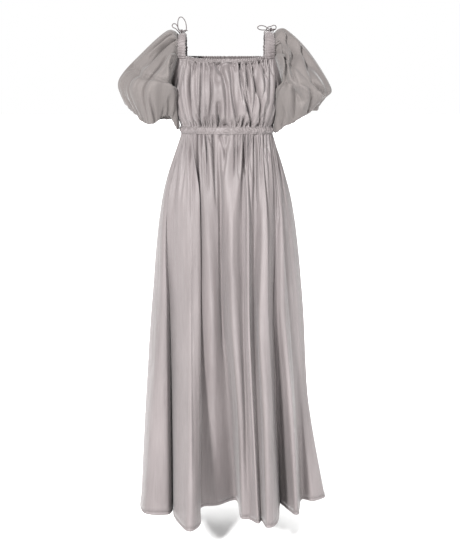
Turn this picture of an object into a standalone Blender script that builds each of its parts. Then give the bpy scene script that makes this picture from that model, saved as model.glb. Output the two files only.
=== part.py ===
"""A maxi dress with puff sleeves, as it hangs when it is worn, hollow.

Front is -Y, the wearer's right is -X and up is +Z. The origin lies midway between the
two shoulder straps, level with their tops, where the wearer's shoulders hold the dress.
"""

import math

import bmesh
import bpy
from mathutils import Vector

for old in list(bpy.data.objects):
    bpy.data.objects.remove(old, do_unlink=True)

MM = 0.001
SEAM = 0.0003  # space left between two pieces that are sewn together
CLOTH = 0.0016  # wall of the single cloth
CASING = 0.0024  # wall of cloth doubled over an elastic

# Heights above the shoulders
WAIST_TOP = -0.2515
WAIST_BOTTOM = -0.2700
HIP = -0.461
KNEE = -0.751
CALF = -1.050
HEM = -1.360
GATHERS_END = -0.520

# The bodice, as sections through a general figure
SQUARENESS = 2.6  # 2 is an ellipse
# height, half width, depth in front, depth behind, in mm
BODICE_SECTIONS = (
    (-40, 152, 93, 82),
    (-67, 155, 97, 85),
    (-150, 155, 130, 96),
    (-215, 141, 122, 90),
    (-251, 128, 104, 86),
    (-271, 127, 102, 85),
)
NECK_DIP = -0.0763  # top of the front panel at its middle
NECK_SIDE = -0.0673  # top of both panels below the straps
UNDERARM = -0.175
ARMHOLE_SCOOP = 1.6
NECK_CASING_HEIGHT = 0.0086
NECK_TRIM = 0.45  # degrees left between a neck casing and a strap

# side, x of the inner and the outer edge at the front, height of the top, in mm
STRAPS = {
    "right": (-1, 112.5, 133.0, -2.0),
    "left": (1, 103.0, 130.0, 3.0),
}
# y as a share of the section's depth, and height as a share of the rise, front to back
STRAP_ARCH = (
    (-1.00, 0.00),
    (-0.98, 0.30),
    (-0.80, 0.68),
    (-0.42, 0.94),
    (0.00, 1.00),
    (0.42, 0.93),
    (0.80, 0.67),
    (0.98, 0.30),
    (1.00, 0.00),
)
STRAP_SLOPE = 0.20  # the shoulder falls this much towards the arm

# Each line is a crest or a valley of the skirt, from the right side seam round the front.
# name, degrees from the middle of the waist, then x and y in mm at hip, knee, calf and hem
FRONT_FOLDS = (
    ("right side seam", -95, (-184, 4), (-216, 0), (-238, -4), (-256, 2)),
    ("narrow fold", -88, (-179, -48), (-193, -76), (-214, -92), (-238, -100)),
    ("narrow fold edge", -83, (-169, -72), (-171, -92), (-171, -104), (-171, -110)),
    ("deep valley", -77, (-159, -79), (-157, -70), (-157, -76), (-158, -84)),
    ("broad fold flank", -69.5, (-146, -96), (-144, -106), (-143, -118), (-147, -138)),
    ("broad fold", -60, (-112, -134), (-104, -166), (-103, -200), (-108, -230)),
    ("broad fold edge", -47, (-88, -140), (-84, -160), (-82, -176), (-79, -186)),
    ("step", -37, (-74, -131), (-77, -136), (-78, -112), (-78, -62)),
    ("recess", -24, (-56, -156), (-41, -163), (-38, -112), (-28, -40)),
    ("recess valley", -10, (-19, -141), (-12, -128), (8, -84), (28, -2)),
    ("centre fold", 7.5, (14, -165), (14, -182), (33, -162), (41, -130)),
    ("soft valley", 17.7, (43, -143), (44, -158), (54, -156), (66, -148)),
    ("bright ridge", 24, (58, -157), (58, -178), (72, -186), (88, -176)),
    ("slot", 29.5, (75, -133), (74, -148), (85, -158), (99, -154)),
    ("twin fold", 42, (100, -140), (92, -182), (110, -198), (115, -204)),
    ("twin fold edge", 55, (119, -122), (111, -162), (128, -168), (142, -168)),
    ("side valley", 65, (131, -98), (126, -114), (136, -84), (155, -26)),
    ("side valley end", 70, (138, -90), (134, -108), (147, -76), (168, -16)),
    ("slim fold", 77, (150, -95), (159, -119), (181, -120), (201, -110)),
    ("slim valley", 84, (160, -64), (186, -66), (203, -42), (220, 2)),
    ("flat side", 90, (173, -44), (203, -44), (222, -26), (257, -6)),
)
# The same, from the left side seam round the back
BACK_FOLDS = (
    ("left side seam", 97, (183, 4), (218, 0), (238, 4), (293, 34)),
    ("side hollow", 108, (171, 42), (196, 46), (214, 58), (238, 74)),
    ("left fold", 120, (164, 74), (197, 94), (218, 116), (240, 142)),
    ("left valley", 131, (137, 92), (154, 106), (168, 124), (182, 146)),
    ("left back fold", 144, (110, 122), (126, 158), (140, 190), (152, 220)),
    ("left back valley", 155, (76, 124), (84, 132), (88, 140), (92, 148)),
    ("near centre fold", 168, (36, 149), (40, 182), (44, 214), (50, 244)),
    ("centre valley", 180, (-2, 136), (2, 158), (6, 184), (10, 208)),
    ("far centre fold", 192, (-38, 148), (-42, 184), (-46, 220), (-52, 254)),
    ("right back valley", 205, (-72, 122), (-80, 128), (-84, 136), (-88, 142)),
    ("right back fold", 217, (-104, 124), (-122, 152), (-134, 178), (-146, 202)),
    ("right valley", 229, (-133, 92), (-151, 108), (-166, 128), (-180, 150)),
    ("right fold", 241, (-161, 76), (-189, 92), (-210, 112), (-230, 132)),
    ("right hollow", 253, (-172, 40), (-197, 42), (-213, 48), (-226, 54)),
)

# The puff sleeves. Reaches are from the arm's middle line, all in mm.
# degrees from outward to the front, reach and height of the puff, and of its lowest line
SLEEVE_PUFF = {
    "right": (
        (0, 94, -128, 72, -172),
        (30, 100, -136, 64, -192),
        (60, 110, -146, 66, -230),
        (90, 112, -150, 74, -238),
        (120, 98, -150, 84, -212),
        (150, 74, -180, 80, -254),
        (180, 48, -192, 60, -224),
        (210, 62, -185, 66, -228),
        (240, 88, -165, 78, -232),
        (270, 100, -150, 76, -228),
        (300, 106, -142, 76, -216),
        (330, 102, -132, 78, -195),
    ),
    "left": (
        (0, 82, -148, 68, -172),
        (30, 92, -148, 58, -194),
        (60, 108, -148, 64, -216),
        (90, 112, -150, 72, -232),
        (120, 98, -160, 84, -246),
        (150, 74, -180, 84, -262),
        (180, 48, -192, 60, -226),
        (210, 62, -185, 66, -232),
        (240, 88, -165, 78, -226),
        (270, 100, -150, 74, -220),
        (300, 104, -142, 72, -208),
        (330, 96, -144, 76, -192),
    ),
}
SLEEVE_CROWN = {"right": 0.009, "left": 0.020}  # how far the upper line bows outward
ARM_MIDDLE = 0.202
CUFF_RADIUS = 0.043
CUFF_TOP = -0.190
CUFF_BOTTOM = -0.205
SLEEVE_CLEAR = 0.0055  # from the middle of the bodice's wall to the middle of the sleeve's
SLEEVE_HEAD_OUT = 0.013
SLEEVE_HEAD_UP = 0.0055
SLEEVE_HEAD_UP_SWING = 0.0125
SLEEVE_ROWS = (0, 0.6, 1.3, 2.1, 3.0, 3.6, 4.0, 5.0, 6.0, 7.0)

# Columns between two crests of a gather, and gathers in each piece
COLUMNS_PER_GATHER = 4
BODICE_FRONT_GATHERS = 18
BODICE_BACK_GATHERS = 14
WAIST_GATHERS = 24
NECK_GATHERS = 12
STRAP_GATHERS = 7
SLEEVE_GATHERS = 11
CUFF_GATHERS = 6
GATHER_SLACK = 0.24  # most that a skirt gather stands out, as a share of its width

# The shoulder ties
CORD = 0.0026
KNOT_INNER = 0.0040  # round the four cords, which pass 1.45 mm off the knot's middle
KNOT_OUTER = 0.0062
KNOT_HALF = 0.0026
TIE_STEP = 0.0062  # space between the points of a cord
# Points in mm from the middle of the knot, x to the wearer's left, y to the back, z up
TIES = {
    "right": {
        "front": (
            (7.0, -18.0, -4.8), (8.2, -14.0, -2.8), (9.0, -9.4, -1.2), (8.2, -4.6, -1.4),
            (5.6, -1.8, -1.45), (2.6, -1.45, -1.45), (-2.6, -1.45, -1.45), (-7.0, -1.6, -1.2),
            (-11.6, -3.0, 2.6), (-17.0, -4.2, 8.2), (-23.0, -4.4, 10.4), (-26.0, -4.0, 15.6),
            (-22.4, -3.4, 20.6), (-16.0, -2.8, 20.0), (-11.8, -2.2, 14.4), (-8.2, -1.7, 7.0),
            (-5.4, -1.5, 2.4), (-2.6, -1.45, 1.45), (3.6, -1.45, 1.45), (7.6, -2.4, 2.4),
            (12.4, -5.4, 3.4), (16.4, -10.0, 1.6),
        ),
        "back": (
            (-4.6, 17.8, -7.4), (-6.6, 14.0, -2.8), (-8.6, 9.6, -1.2), (-7.8, 4.8, -1.4),
            (-5.2, 2.0, -1.45), (-2.6, 1.45, -1.45), (2.6, 1.45, -1.45), (7.6, 1.45, -1.6),
            (11.8, 1.7, 1.8), (13.2, 1.9, 8.6), (12.6, 2.1, 17.6), (10.6, 2.2, 26.0),
            (6.4, 2.3, 33.6), (0.6, 2.4, 38.8), (-5.2, 2.4, 38.2), (-9.2, 2.4, 31.6),
            (-10.6, 2.3, 22.4), (-10.4, 2.2, 13.4), (-8.8, 1.8, 5.8), (-5.6, 1.5, 2.2),
            (-2.6, 1.45, 1.45), (2.6, 1.45, 1.45), (6.4, 1.8, 1.7), (8.4, 5.4, 2.8),
            (9.4, 10.2, 2.4), (9.8, 15.2, 1.2),
        ),
    },
    "left": {
        "front": (
            (4.6, -18.0, -7.3), (6.4, -14.0, -2.8), (7.6, -9.4, -1.2), (7.2, -4.6, -1.4),
            (5.2, -1.9, -1.45), (2.6, -1.45, -1.45), (-2.6, -1.45, -1.45), (-8.0, -1.8, -1.2),
            (-16.0, -3.0, -0.6), (-25.0, -4.4, -0.6), (-33.0, -5.2, 1.4), (-37.0, -5.4, 5.6),
            (-33.6, -5.0, 9.8), (-25.4, -4.2, 11.4), (-16.4, -3.0, 9.2), (-10.0, -2.0, 5.0),
            (-6.2, -1.5, 2.1), (-2.6, -1.45, 1.45), (2.6, -1.45, 1.45), (7.0, -2.6, 1.6),
            (10.4, -6.4, 1.6), (12.0, -12.0, 0.4),
        ),
        "back": (
            (-5.2, 18.4, -5.5), (-7.4, 14.0, -2.8), (-9.0, 9.6, -1.2), (-8.0, 4.8, -1.4),
            (-5.2, 2.0, -1.45), (-2.6, 1.45, -1.45), (2.6, 1.45, -1.45), (7.6, 1.6, -0.8),
            (12.8, 1.8, 2.2), (14.6, 2.0, 7.6), (11.4, 2.1, 12.2), (6.0, 2.0, 12.0),
            (1.0, 2.2, 9.6), (-4.2, 3.4, 8.6), (-8.4, 6.6, 6.6), (-11.4, 11.4, 3.0),
            (-13.4, 16.4, -2.4),
        ),
    },
}

SATIN = (0.46, 0.41, 0.41, 1)
CHIFFON = (0.36, 0.33, 0.32, 1)
RUCHED = (0.43, 0.38, 0.38, 1)
BRAID = (0.33, 0.29, 0.29, 1)


def smooth(stations, values, place):
    """The value at a place on the smooth curve through values that stand at stations."""
    last = len(stations) - 1
    low = 0
    while low < last - 1 and (place - stations[low + 1]) * (stations[-1] - stations[0]) > 0:
        low += 1
    high = low + 1
    span = stations[high] - stations[low]
    before, after = max(low - 1, 0), min(high + 1, last)
    leaving = (values[high] - values[before]) / (stations[high] - stations[before]) * span
    arriving = (values[after] - values[low]) / (stations[after] - stations[low]) * span
    t = (place - stations[low]) / span
    return (
        values[low] * (2 * t**3 - 3 * t**2 + 1)
        + leaving * (t**3 - 2 * t**2 + t)
        + values[high] * (3 * t**2 - 2 * t**3)
        + arriving * (t**3 - t**2)
    )


def around(values, place):
    """The same on a closed curve through values one step apart."""
    start = math.floor(place)
    near = [values[(start + step) % len(values)] for step in (-1, 0, 1, 2)]
    return smooth((-1, 0, 1, 2), near, place - start)


def eased(low, high, place):
    """0 below low, 1 above high, smooth between."""
    t = min(max((place - low) / (high - low), 0.0), 1.0)
    return t * t * (3 - 2 * t)


def shown(name, mesh, colour, roughness):
    """Puts a mesh in the scene as a named piece with its own material."""
    material = bpy.data.materials.new(name)
    material.use_nodes = True
    shader = material.node_tree.nodes["Principled BSDF"]
    shader.inputs["Base Color"].default_value = colour
    shader.inputs["Roughness"].default_value = roughness
    mesh.materials.append(material)
    mesh.shade_smooth()
    piece = bpy.data.objects.new(name, mesh)
    bpy.context.scene.collection.objects.link(piece)
    return piece


def wall(name, outer, inner, closed, colour, roughness=0.5):
    """A closed wall between two grids of points, rows from the top down and columns
    towards the wearer's left at the front. A closed grid goes all the way round."""
    rows, columns = len(outer), len(outer[0])
    bm = bmesh.new()
    faces = [[[bm.verts.new(point) for point in row] for row in grid] for grid in (outer, inner)]
    out, back = faces
    last = columns if closed else columns - 1
    for column in range(last):
        beside = (column + 1) % columns
        for row in range(rows - 1):
            below = row + 1
            bm.faces.new((out[row][column], out[below][column], out[below][beside], out[row][beside]))
            bm.faces.new((back[row][beside], back[below][beside], back[below][column], back[row][column]))
        for row, turn in ((0, 1), (rows - 1, -1)):
            rim = (out[row][column], out[row][beside], back[row][beside], back[row][column])
            bm.faces.new(rim[::turn])
    if not closed:
        for column, turn in ((0, -1), (columns - 1, 1)):
            for row in range(rows - 1):
                below = row + 1
                rim = (out[row][column], out[below][column], back[below][column], back[row][column])
                bm.faces.new(rim[::turn])
    bmesh.ops.triangulate(bm, faces=bm.faces)
    bmesh.ops.recalc_face_normals(bm, faces=bm.faces)
    mesh = bpy.data.meshes.new(name)
    bm.to_mesh(mesh)
    bm.free()
    return shown(name, mesh, colour, roughness)


def level_normal(ahead, behind):
    """Outward and level, for a line that runs towards the wearer's left at the front."""
    along = ahead - behind
    return Vector((along.y, -along.x, 0)).normalized()


def bodice_section(height):
    """Half width, front depth and back depth of the figure at a height."""
    stations = [row[0] * MM for row in BODICE_SECTIONS]
    sizes = [Vector(row[1:]) * MM for row in BODICE_SECTIONS]
    return smooth(stations, sizes, height)


def bodice_point(degrees, height):
    """A point of the figure, by degrees from the middle of the front to the wearer's left."""
    width, front, back = bodice_section(height)
    angle = math.radians(degrees)
    power = 2 / SQUARENESS
    x = math.copysign(abs(math.sin(angle)) ** power, math.sin(angle)) * width
    depth = -front if math.cos(angle) > 0 else back
    return Vector((x, abs(math.cos(angle)) ** power * depth, height))


def bodice_normal(degrees, height):
    return level_normal(bodice_point(degrees + 1, height), bodice_point(degrees - 1, height))


def degrees_at(x, height):
    """Where the front of the figure's section has this x."""
    share = abs(x) / bodice_section(height)[0]
    return math.copysign(math.degrees(math.asin(share ** (SQUARENESS / 2))), x)


def strap_ends(side_name):
    """Degrees of the inner and the outer edge of a strap, at its front end."""
    side, inner, outer, _ = STRAPS[side_name]
    return [degrees_at(side * edge * MM, NECK_SIDE) for edge in (inner, outer)]


def panel_top(degrees):
    """Height of the bodice's upper edge: neckline, strap end, then armhole."""
    turned = (degrees + 180) % 360 - 180
    in_front = abs(turned) < 90
    from_middle = abs(turned) if in_front else 180 - abs(turned)
    inner, outer = [abs(edge) for edge in strap_ends("left" if turned > 0 else "right")]
    if from_middle >= outer:
        down = (from_middle - outer) / (90 - outer)
        return UNDERARM + (NECK_SIDE - UNDERARM) * (1 - down) ** ARMHOLE_SCOOP
    if from_middle >= inner or not in_front:
        return NECK_SIDE
    return NECK_DIP + (NECK_SIDE - NECK_DIP) * (from_middle / inner) ** 3


def bodice_panel(name, first, last, gathers, gather_start):
    """One panel of the bodice, gathered between the neck casing and the waist casing."""
    rows = (0, 0.16, 0.42, 0.72, 1)
    columns = gathers * COLUMNS_PER_GATHER
    bottom = WAIST_TOP + SEAM
    grids = ([], [])
    for down in rows:
        swell = 0.0012 + 0.0032 * math.sin(math.pi * min(down * 1.1, 1)) ** 0.8
        lines = ([], [])
        for column in range(columns + 1):
            degrees = first + (last - first) * column / columns
            top = panel_top(degrees)
            height = top + (bottom - top) * down
            edge = 90 - abs(90 - abs((degrees + 180) % 360 - 180))
            gathered = eased(52, 38, edge)
            gathered += (1 - gathered) * 0.5 * eased(0.05, 0.4, down)
            turn = (gather_start + column / COLUMNS_PER_GATHER) * math.tau
            lean = 1.3 * math.sin(0.17 * turn + 0.8) * down
            fold = swell * gathered * (math.cos(turn + lean) + 0.35 * math.sin(0.5 * turn + lean))
            point = bodice_point(degrees, height)
            out = bodice_normal(degrees, height)
            if column in (0, columns):
                along = Vector((-out.y, out.x, 0))
                point += along * SEAM / 2 * (1 if column == 0 else -1)
            middle = point + out * fold
            lines[0].append(middle + out * CLOTH / 2)
            lines[1].append(middle - out * CLOTH / 2)
        for grid, line in zip(grids, lines):
            grid.append(line)
    return wall(name, *grids, False, SATIN, 0.45)


def waist_casing():
    """The narrow elastic casing round the empire waist."""
    columns = WAIST_GATHERS * COLUMNS_PER_GATHER
    grids = ([], [])
    for height, swell in ((WAIST_TOP, 0), ((WAIST_TOP + WAIST_BOTTOM) / 2, 0.0012), (WAIST_BOTTOM, 0)):
        lines = ([], [])
        for column in range(columns):
            degrees = 360 * column / columns
            out = bodice_normal(degrees, height)
            ruche = 0.0009 * math.cos(math.tau * column / COLUMNS_PER_GATHER)
            middle = bodice_point(degrees, height) + out * (ruche + swell)
            lines[0].append(middle + out * CASING / 2)
            lines[1].append(middle - out * CASING / 2)
        for grid, line in zip(grids, lines):
            grid.append(line)
    return wall("waist_casing", *grids, True, RUCHED, 0.5)


def neck_casing(name, first, last):
    """A narrow elastic casing along one neckline, on top of its panel."""
    columns = NECK_GATHERS * COLUMNS_PER_GATHER
    shares = (0, 1)
    grids = ([], [])
    for share in shares:
        lines = ([], [])
        for column in range(columns + 1):
            degrees = first + (last - first) * column / columns
            height = panel_top(degrees) + SEAM + NECK_CASING_HEIGHT * (1 - share)
            out = bodice_normal(degrees, height)
            ruche = 0.0008 * math.cos(math.tau * column / COLUMNS_PER_GATHER)
            if column in (0, columns):
                ruche = 0
            middle = bodice_point(degrees, height) + out * ruche
            lines[0].append(middle + out * CASING / 2)
            lines[1].append(middle - out * CASING / 2)
        for grid, line in zip(grids, lines):
            grid.append(line)
    return wall(name, *grids, False, RUCHED, 0.5)


def strap_edges(side_name, along):
    """The inner and the outer edge of a strap, 0 at the front end and 1 at the back."""
    side, inner, outer, top = STRAPS[side_name]
    place = along * (len(STRAP_ARCH) - 1)
    stations = range(len(STRAP_ARCH))
    forward = smooth(stations, [row[0] for row in STRAP_ARCH], place)
    rise = smooth(stations, [row[1] for row in STRAP_ARCH], place)
    foot = NECK_SIDE + SEAM
    height = foot + (top * MM - foot) * rise
    edges = []
    for degrees in strap_ends(side_name):
        end = bodice_point(degrees if forward < 0 else 180 - degrees, foot)
        level = rise**2
        x = end.x * (1 - level) + side * (inner if not edges else outer) * MM * level
        middle = bodice_point(strap_ends(side_name)[0] if forward < 0 else 180 - strap_ends(side_name)[0], foot)
        y = abs(forward) * (end.y * (1 - level) + middle.y * level)
        edges.append(Vector((x, y, height)))
    width = abs(edges[1].x - edges[0].x)
    edges[0].z += STRAP_SLOPE * width / 2 * eased(0.1, 0.7, rise)
    edges[1].z -= STRAP_SLOPE * width / 2 * eased(0.1, 0.7, rise)
    return edges


def strap_casing(side_name):
    """A ruched casing over one shoulder, with the tie's cord inside it."""
    side = STRAPS[side_name][0]
    rows = STRAP_GATHERS * COLUMNS_PER_GATHER
    grids = ([], [])
    for row in range(rows + 1):
        along = row / rows
        inner, outer = strap_edges(side_name, along)
        before = strap_edges(side_name, max(along - 0.01, 0))
        after = strap_edges(side_name, min(along + 0.01, 1))
        run = (after[0] + after[1] - before[0] - before[1]).normalized()
        across = (outer - inner).normalized()
        out = across.cross(run).normalized() * side
        if out.dot(Vector((0, inner.y, 0.05))) < 0:
            out = -out
        if row in (0, rows):
            out = Vector((out.x, out.y, 0)).normalized()
        ruche = 0.0007 * math.cos(math.tau * row / COLUMNS_PER_GATHER) if 0 < row < rows else 0
        nudge = across * SEAM
        middles = (inner + nudge, (inner + outer) / 2 + out * 0.0008, outer)
        lines = [[point + out * (ruche + way * CASING / 2) for point in middles] for way in (1, -1)]
        for grid, line in zip(grids, lines):
            grid.append(line)
    return wall(f"strap_casing_{side_name}", *grids, False, RUCHED, 0.5)


def armhole(side_name):
    """Points round the armhole from the top of the shoulder over the front, just outside
    the strap and the panels, and the way out from each."""
    side = STRAPS[side_name][0]
    path = []
    front_end = strap_ends(side_name)[1]
    clear = 0.0012
    for step in range(20):
        inner, outer = strap_edges(side_name, 0.5 - 0.5 * step / 20)
        out = (outer - inner).normalized()
        path.append((outer + out * clear, out))
    for step in range(25):
        degrees = front_end + (side * 90 - front_end) * step / 24
        height = panel_top(degrees - side * 0.001)
        out = bodice_normal(degrees, height)
        path.append((bodice_point(degrees, height) + out * (CLOTH / 2 + clear), out))
    for step in range(1, 25):
        degrees = side * 90 + (side * 90 - front_end) * step / 24
        height = panel_top(degrees)
        out = bodice_normal(degrees, height)
        path.append((bodice_point(degrees, height) + out * (CLOTH / 2 + clear), out))
    for step in range(1, 20):
        inner, outer = strap_edges(side_name, 1 - 0.5 * step / 20)
        out = (outer - inner).normalized()
        path.append((outer + out * clear, out))
    return path


def spaced(path, count, bottom):
    """The path's points and ways out at even spaces, half of them on each side of bottom."""
    halves = (path[: bottom + 1], path[bottom:] + path[:1])
    found = []
    for half in halves:
        length = [0.0]
        for one, two in zip(half, half[1:]):
            length.append(length[-1] + (two[0] - one[0]).length)
        for step in range(count // 2):
            target = length[-1] * step / (count // 2)
            low = max(index for index, place in enumerate(length) if place <= target)
            low = min(low, len(half) - 2)
            share = (target - length[low]) / (length[low + 1] - length[low])
            point = half[low][0].lerp(half[low + 1][0], share)
            out = half[low][1].lerp(half[low + 1][1], share).normalized()
            found.append((point, out))
    return found


def beside_bodice(point):
    """The point itself, or the nearest place level with it that clears the bodice."""
    if point.z > NECK_SIDE or point.z < WAIST_BOTTOM:
        return point
    width, front, back = bodice_section(point.z)
    depth = front if point.y < 0 else back
    share = (abs(point.x) / width) ** SQUARENESS + (abs(point.y) / depth) ** SQUARENESS
    level = Vector((point.x, point.y, 0))
    needed = 1 + SLEEVE_CLEAR / level.length
    reach = max(needed / share ** (1 / SQUARENESS), 1)
    return level * reach + Vector((0, 0, point.z))


def sleeve(side_name):
    """A puff sleeve, gathered into the armhole and turned under to its hidden cuff band."""
    side = STRAPS[side_name][0]
    columns = SLEEVE_GATHERS * COLUMNS_PER_GATHER
    ring = spaced(armhole(side_name), columns, 44)
    puff = [Vector(row[1:]) * MM for row in SLEEVE_PUFF[side_name]]
    arm = Vector((side * ARM_MIDDLE, 0, 0))
    profiles = []
    for column, (start, out) in enumerate(ring):
        share = column / columns
        turn = share * math.tau
        ray = Vector((side * math.cos(turn), -math.sin(turn), 0))
        reach, height, low_reach, low_height = around(puff, share * len(puff))
        lift = SLEEVE_HEAD_UP + SLEEVE_HEAD_UP_SWING * math.cos(turn)
        head = start + out * SLEEVE_HEAD_OUT * (1 + math.cos(turn)) + Vector((0, 0, lift))
        bulge = arm + ray * reach + Vector((0, 0, height))
        crown = (head + bulge) / 2
        crown.z += SLEEVE_CROWN[side_name] * eased(-1, 1, math.cos(turn))
        low = arm + ray * low_reach + Vector((0, 0, low_height))
        end_height = CUFF_BOTTOM - CLOTH / 2 - SEAM
        under = arm + ray * (CUFF_RADIUS + 0.35 * (low_reach - CUFF_RADIUS))
        under.z = end_height + min(0.45 * (low_height - end_height), -0.002)
        turned = low.lerp(under, 0.15)
        turned -= ray * min(0.008, 0.25 * (low - under).length)
        end = arm + ray * CUFF_RADIUS + Vector((0, 0, end_height))
        profiles.append((start, head, crown, bulge, low, turned, under, end))
    middle = []
    for row, place in enumerate(SLEEVE_ROWS):
        line = []
        for column, profile in enumerate(profiles):
            turn = column / columns * math.tau
            point = smooth(range(len(profile)), profile, place)
            wave = math.cos(math.tau * column / COLUMNS_PER_GATHER + 0.4 * place)
            long_wave = math.sin(5 * turn + 0.5 * place)
            size = 0.0042 * math.sin(math.pi * min(place / 5.0, 1)) ** 0.7
            calm = 1 - eased(-0.2, -0.8, math.cos(turn))
            ray = Vector((side * math.cos(turn), -math.sin(turn), 0.25))
            ends = row not in (0, len(SLEEVE_ROWS) - 1)
            point += ray * (size * calm * (wave + 0.7 * long_wave) * ends)
            line.append(beside_bodice(point) if ends else point)
        middle.append(line)
    grids = ([], [])
    for row, line in enumerate(middle):
        above, below = middle[max(row - 1, 0)], middle[min(row + 1, len(middle) - 1)]
        lines = ([], [])
        for column, point in enumerate(line):
            across = line[(column + 1) % columns] - line[column - 1]
            down = (point - above[column]).normalized() + (below[column] - point).normalized()
            out = across.cross(down).normalized() * -side
            lines[0].append(point + out * CLOTH / 2)
            lines[1].append(point - out * CLOTH / 2)
        for grid, wall_line in zip(grids, lines):
            grid.append(wall_line)
    return wall(f"sleeve_{side_name}", *grids, True, CHIFFON, 0.8)


def cuff_band(side_name):
    """The narrow gathered band inside the puff, round the arm."""
    side = STRAPS[side_name][0]
    columns = CUFF_GATHERS * COLUMNS_PER_GATHER
    grids = ([], [])
    for height in (CUFF_TOP, CUFF_BOTTOM):
        lines = ([], [])
        for column in range(columns):
            turn = math.tau * column / columns
            ray = Vector((math.sin(turn), -math.cos(turn), 0))
            ruche = 0.0006 * math.cos(math.tau * column / COLUMNS_PER_GATHER)
            middle = Vector((side * ARM_MIDDLE, 0, height)) + ray * (CUFF_RADIUS + ruche)
            lines[0].append(middle + ray * CASING / 2)
            lines[1].append(middle - ray * CASING / 2)
        for grid, line in zip(grids, lines):
            grid.append(line)
    return wall(f"cuff_band_{side_name}", *grids, True, CHIFFON, 0.8)


def skirt_lines(height):
    """Where each fold line of the skirt stands at a height, all the way round."""
    stations = (WAIST_BOTTOM, HIP, KNEE, CALF, HEM)
    found = []
    for _, degrees, *places in FRONT_FOLDS + BACK_FOLDS:
        top = bodice_point(degrees, WAIST_BOTTOM)
        values = [Vector((top.x, top.y))] + [Vector(place) * MM for place in places]
        found.append(smooth(stations, values, height))
    return found


def skirt_panel(name, first, last, rows):
    """One panel of the skirt, between two of the fold lines."""
    columns = (last - first) * COLUMNS_PER_GATHER
    grids = ([], [])
    for height in rows:
        folds = skirt_lines(height)
        puffed = 0.0012 + 0.0042 * eased(WAIST_BOTTOM, -0.33, height)
        puffed *= eased(GATHERS_END, -0.36, height)
        lines = ([], [])
        for column in range(columns + 1):
            place = first + column / COLUMNS_PER_GATHER
            spot = around(folds, place)
            along = around(folds, place + 0.05) - around(folds, place - 0.05)
            out = Vector((along.y, -along.x, 0)).normalized()
            room = (around(folds, place + 0.5) - around(folds, place - 0.5)).length
            swell = min(puffed, room * GATHER_SLACK) * math.cos(math.tau * (place + 0.5))
            swell *= 1 - 0.8 * abs(out.x) ** 4
            middle = Vector((spot.x, spot.y, height)) + out * swell
            if column in (0, columns):
                back_off = Vector((along.x, along.y, 0)).normalized() * SEAM / 2
                middle += back_off * (1 if column == 0 else -1)
            lines[0].append(middle + out * CLOTH / 2)
            lines[1].append(middle - out * CLOTH / 2)
        for grid, line in zip(grids, lines):
            grid.append(line)
    return wall(name, *grids, False, SATIN, 0.4)


def knot_middle(side_name):
    """The middle of a bow's knot, resting on the top of its strap."""
    inner, outer = strap_edges(side_name, 0.5)
    across = 0.62 if side_name == "right" else 0.68
    spot = inner.lerp(outer, across)
    spot.z += CASING / 2 + 0.0019 + KNOT_OUTER
    return spot


def knot(side_name):
    """The wrap of cord round the four cords in the middle of a bow."""
    centre = knot_middle(side_name)
    bm = bmesh.new()
    sides = 16
    section = (
        (KNOT_INNER, -KNOT_HALF), (KNOT_OUTER - 0.0009, -KNOT_HALF), (KNOT_OUTER, 0),
        (KNOT_OUTER - 0.0009, KNOT_HALF), (KNOT_INNER, KNOT_HALF),
    )
    rings = []
    for side in range(sides):
        turn = math.tau * side / sides
        ray = Vector((0, math.cos(turn), math.sin(turn)))
        points = [centre + ray * reach + Vector((along, 0, 0)) for reach, along in section]
        rings.append([bm.verts.new(point) for point in points])
    for side in range(sides):
        one, two = rings[side], rings[(side + 1) % sides]
        for index in range(len(section)):
            after = (index + 1) % len(section)
            bm.faces.new((one[index], one[after], two[after], two[index]))
    bmesh.ops.triangulate(bm, faces=bm.faces)
    bmesh.ops.recalc_face_normals(bm, faces=bm.faces)
    mesh = bpy.data.meshes.new(f"knot_{side_name}")
    bm.to_mesh(mesh)
    bm.free()
    return shown(f"knot_{side_name}", mesh, BRAID, 0.6)


def tie(side_name, which):
    """One cord of a bow: out of the casing, through the knot, round its loop, to its end."""
    centre = knot_middle(side_name)
    route = [centre + Vector(point) * MM for point in TIES[side_name][which]]
    stations = range(len(route))
    fine = [smooth(stations, route, step / 12) for step in range(12 * (len(route) - 1) + 1)]
    length = sum((two - one).length for one, two in zip(fine, fine[1:]))
    count = max(round(length / TIE_STEP), 2)
    points, walked, wanted = [fine[0]], 0.0, length / count
    for one, two in zip(fine, fine[1:]):
        walked += (two - one).length
        if walked >= wanted - 1e-9 and len(points) < count:
            points.append(two)
            wanted += length / count
    points.append(fine[-1])
    curve = bpy.data.curves.new(f"tie_{side_name}_{which}", "CURVE")
    curve.dimensions = "3D"
    curve.bevel_depth = CORD / 2
    curve.bevel_resolution = 2
    curve.use_fill_caps = True
    line = curve.splines.new("POLY")
    line.points.add(len(points) - 1)
    for spot, point in zip(line.points, points):
        spot.co = (*point, 1)
    material = bpy.data.materials.new(curve.name)
    material.use_nodes = True
    material.node_tree.nodes["Principled BSDF"].inputs["Base Color"].default_value = BRAID
    curve.materials.append(material)
    piece = bpy.data.objects.new(curve.name, curve)
    bpy.context.scene.collection.objects.link(piece)
    return piece


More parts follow.
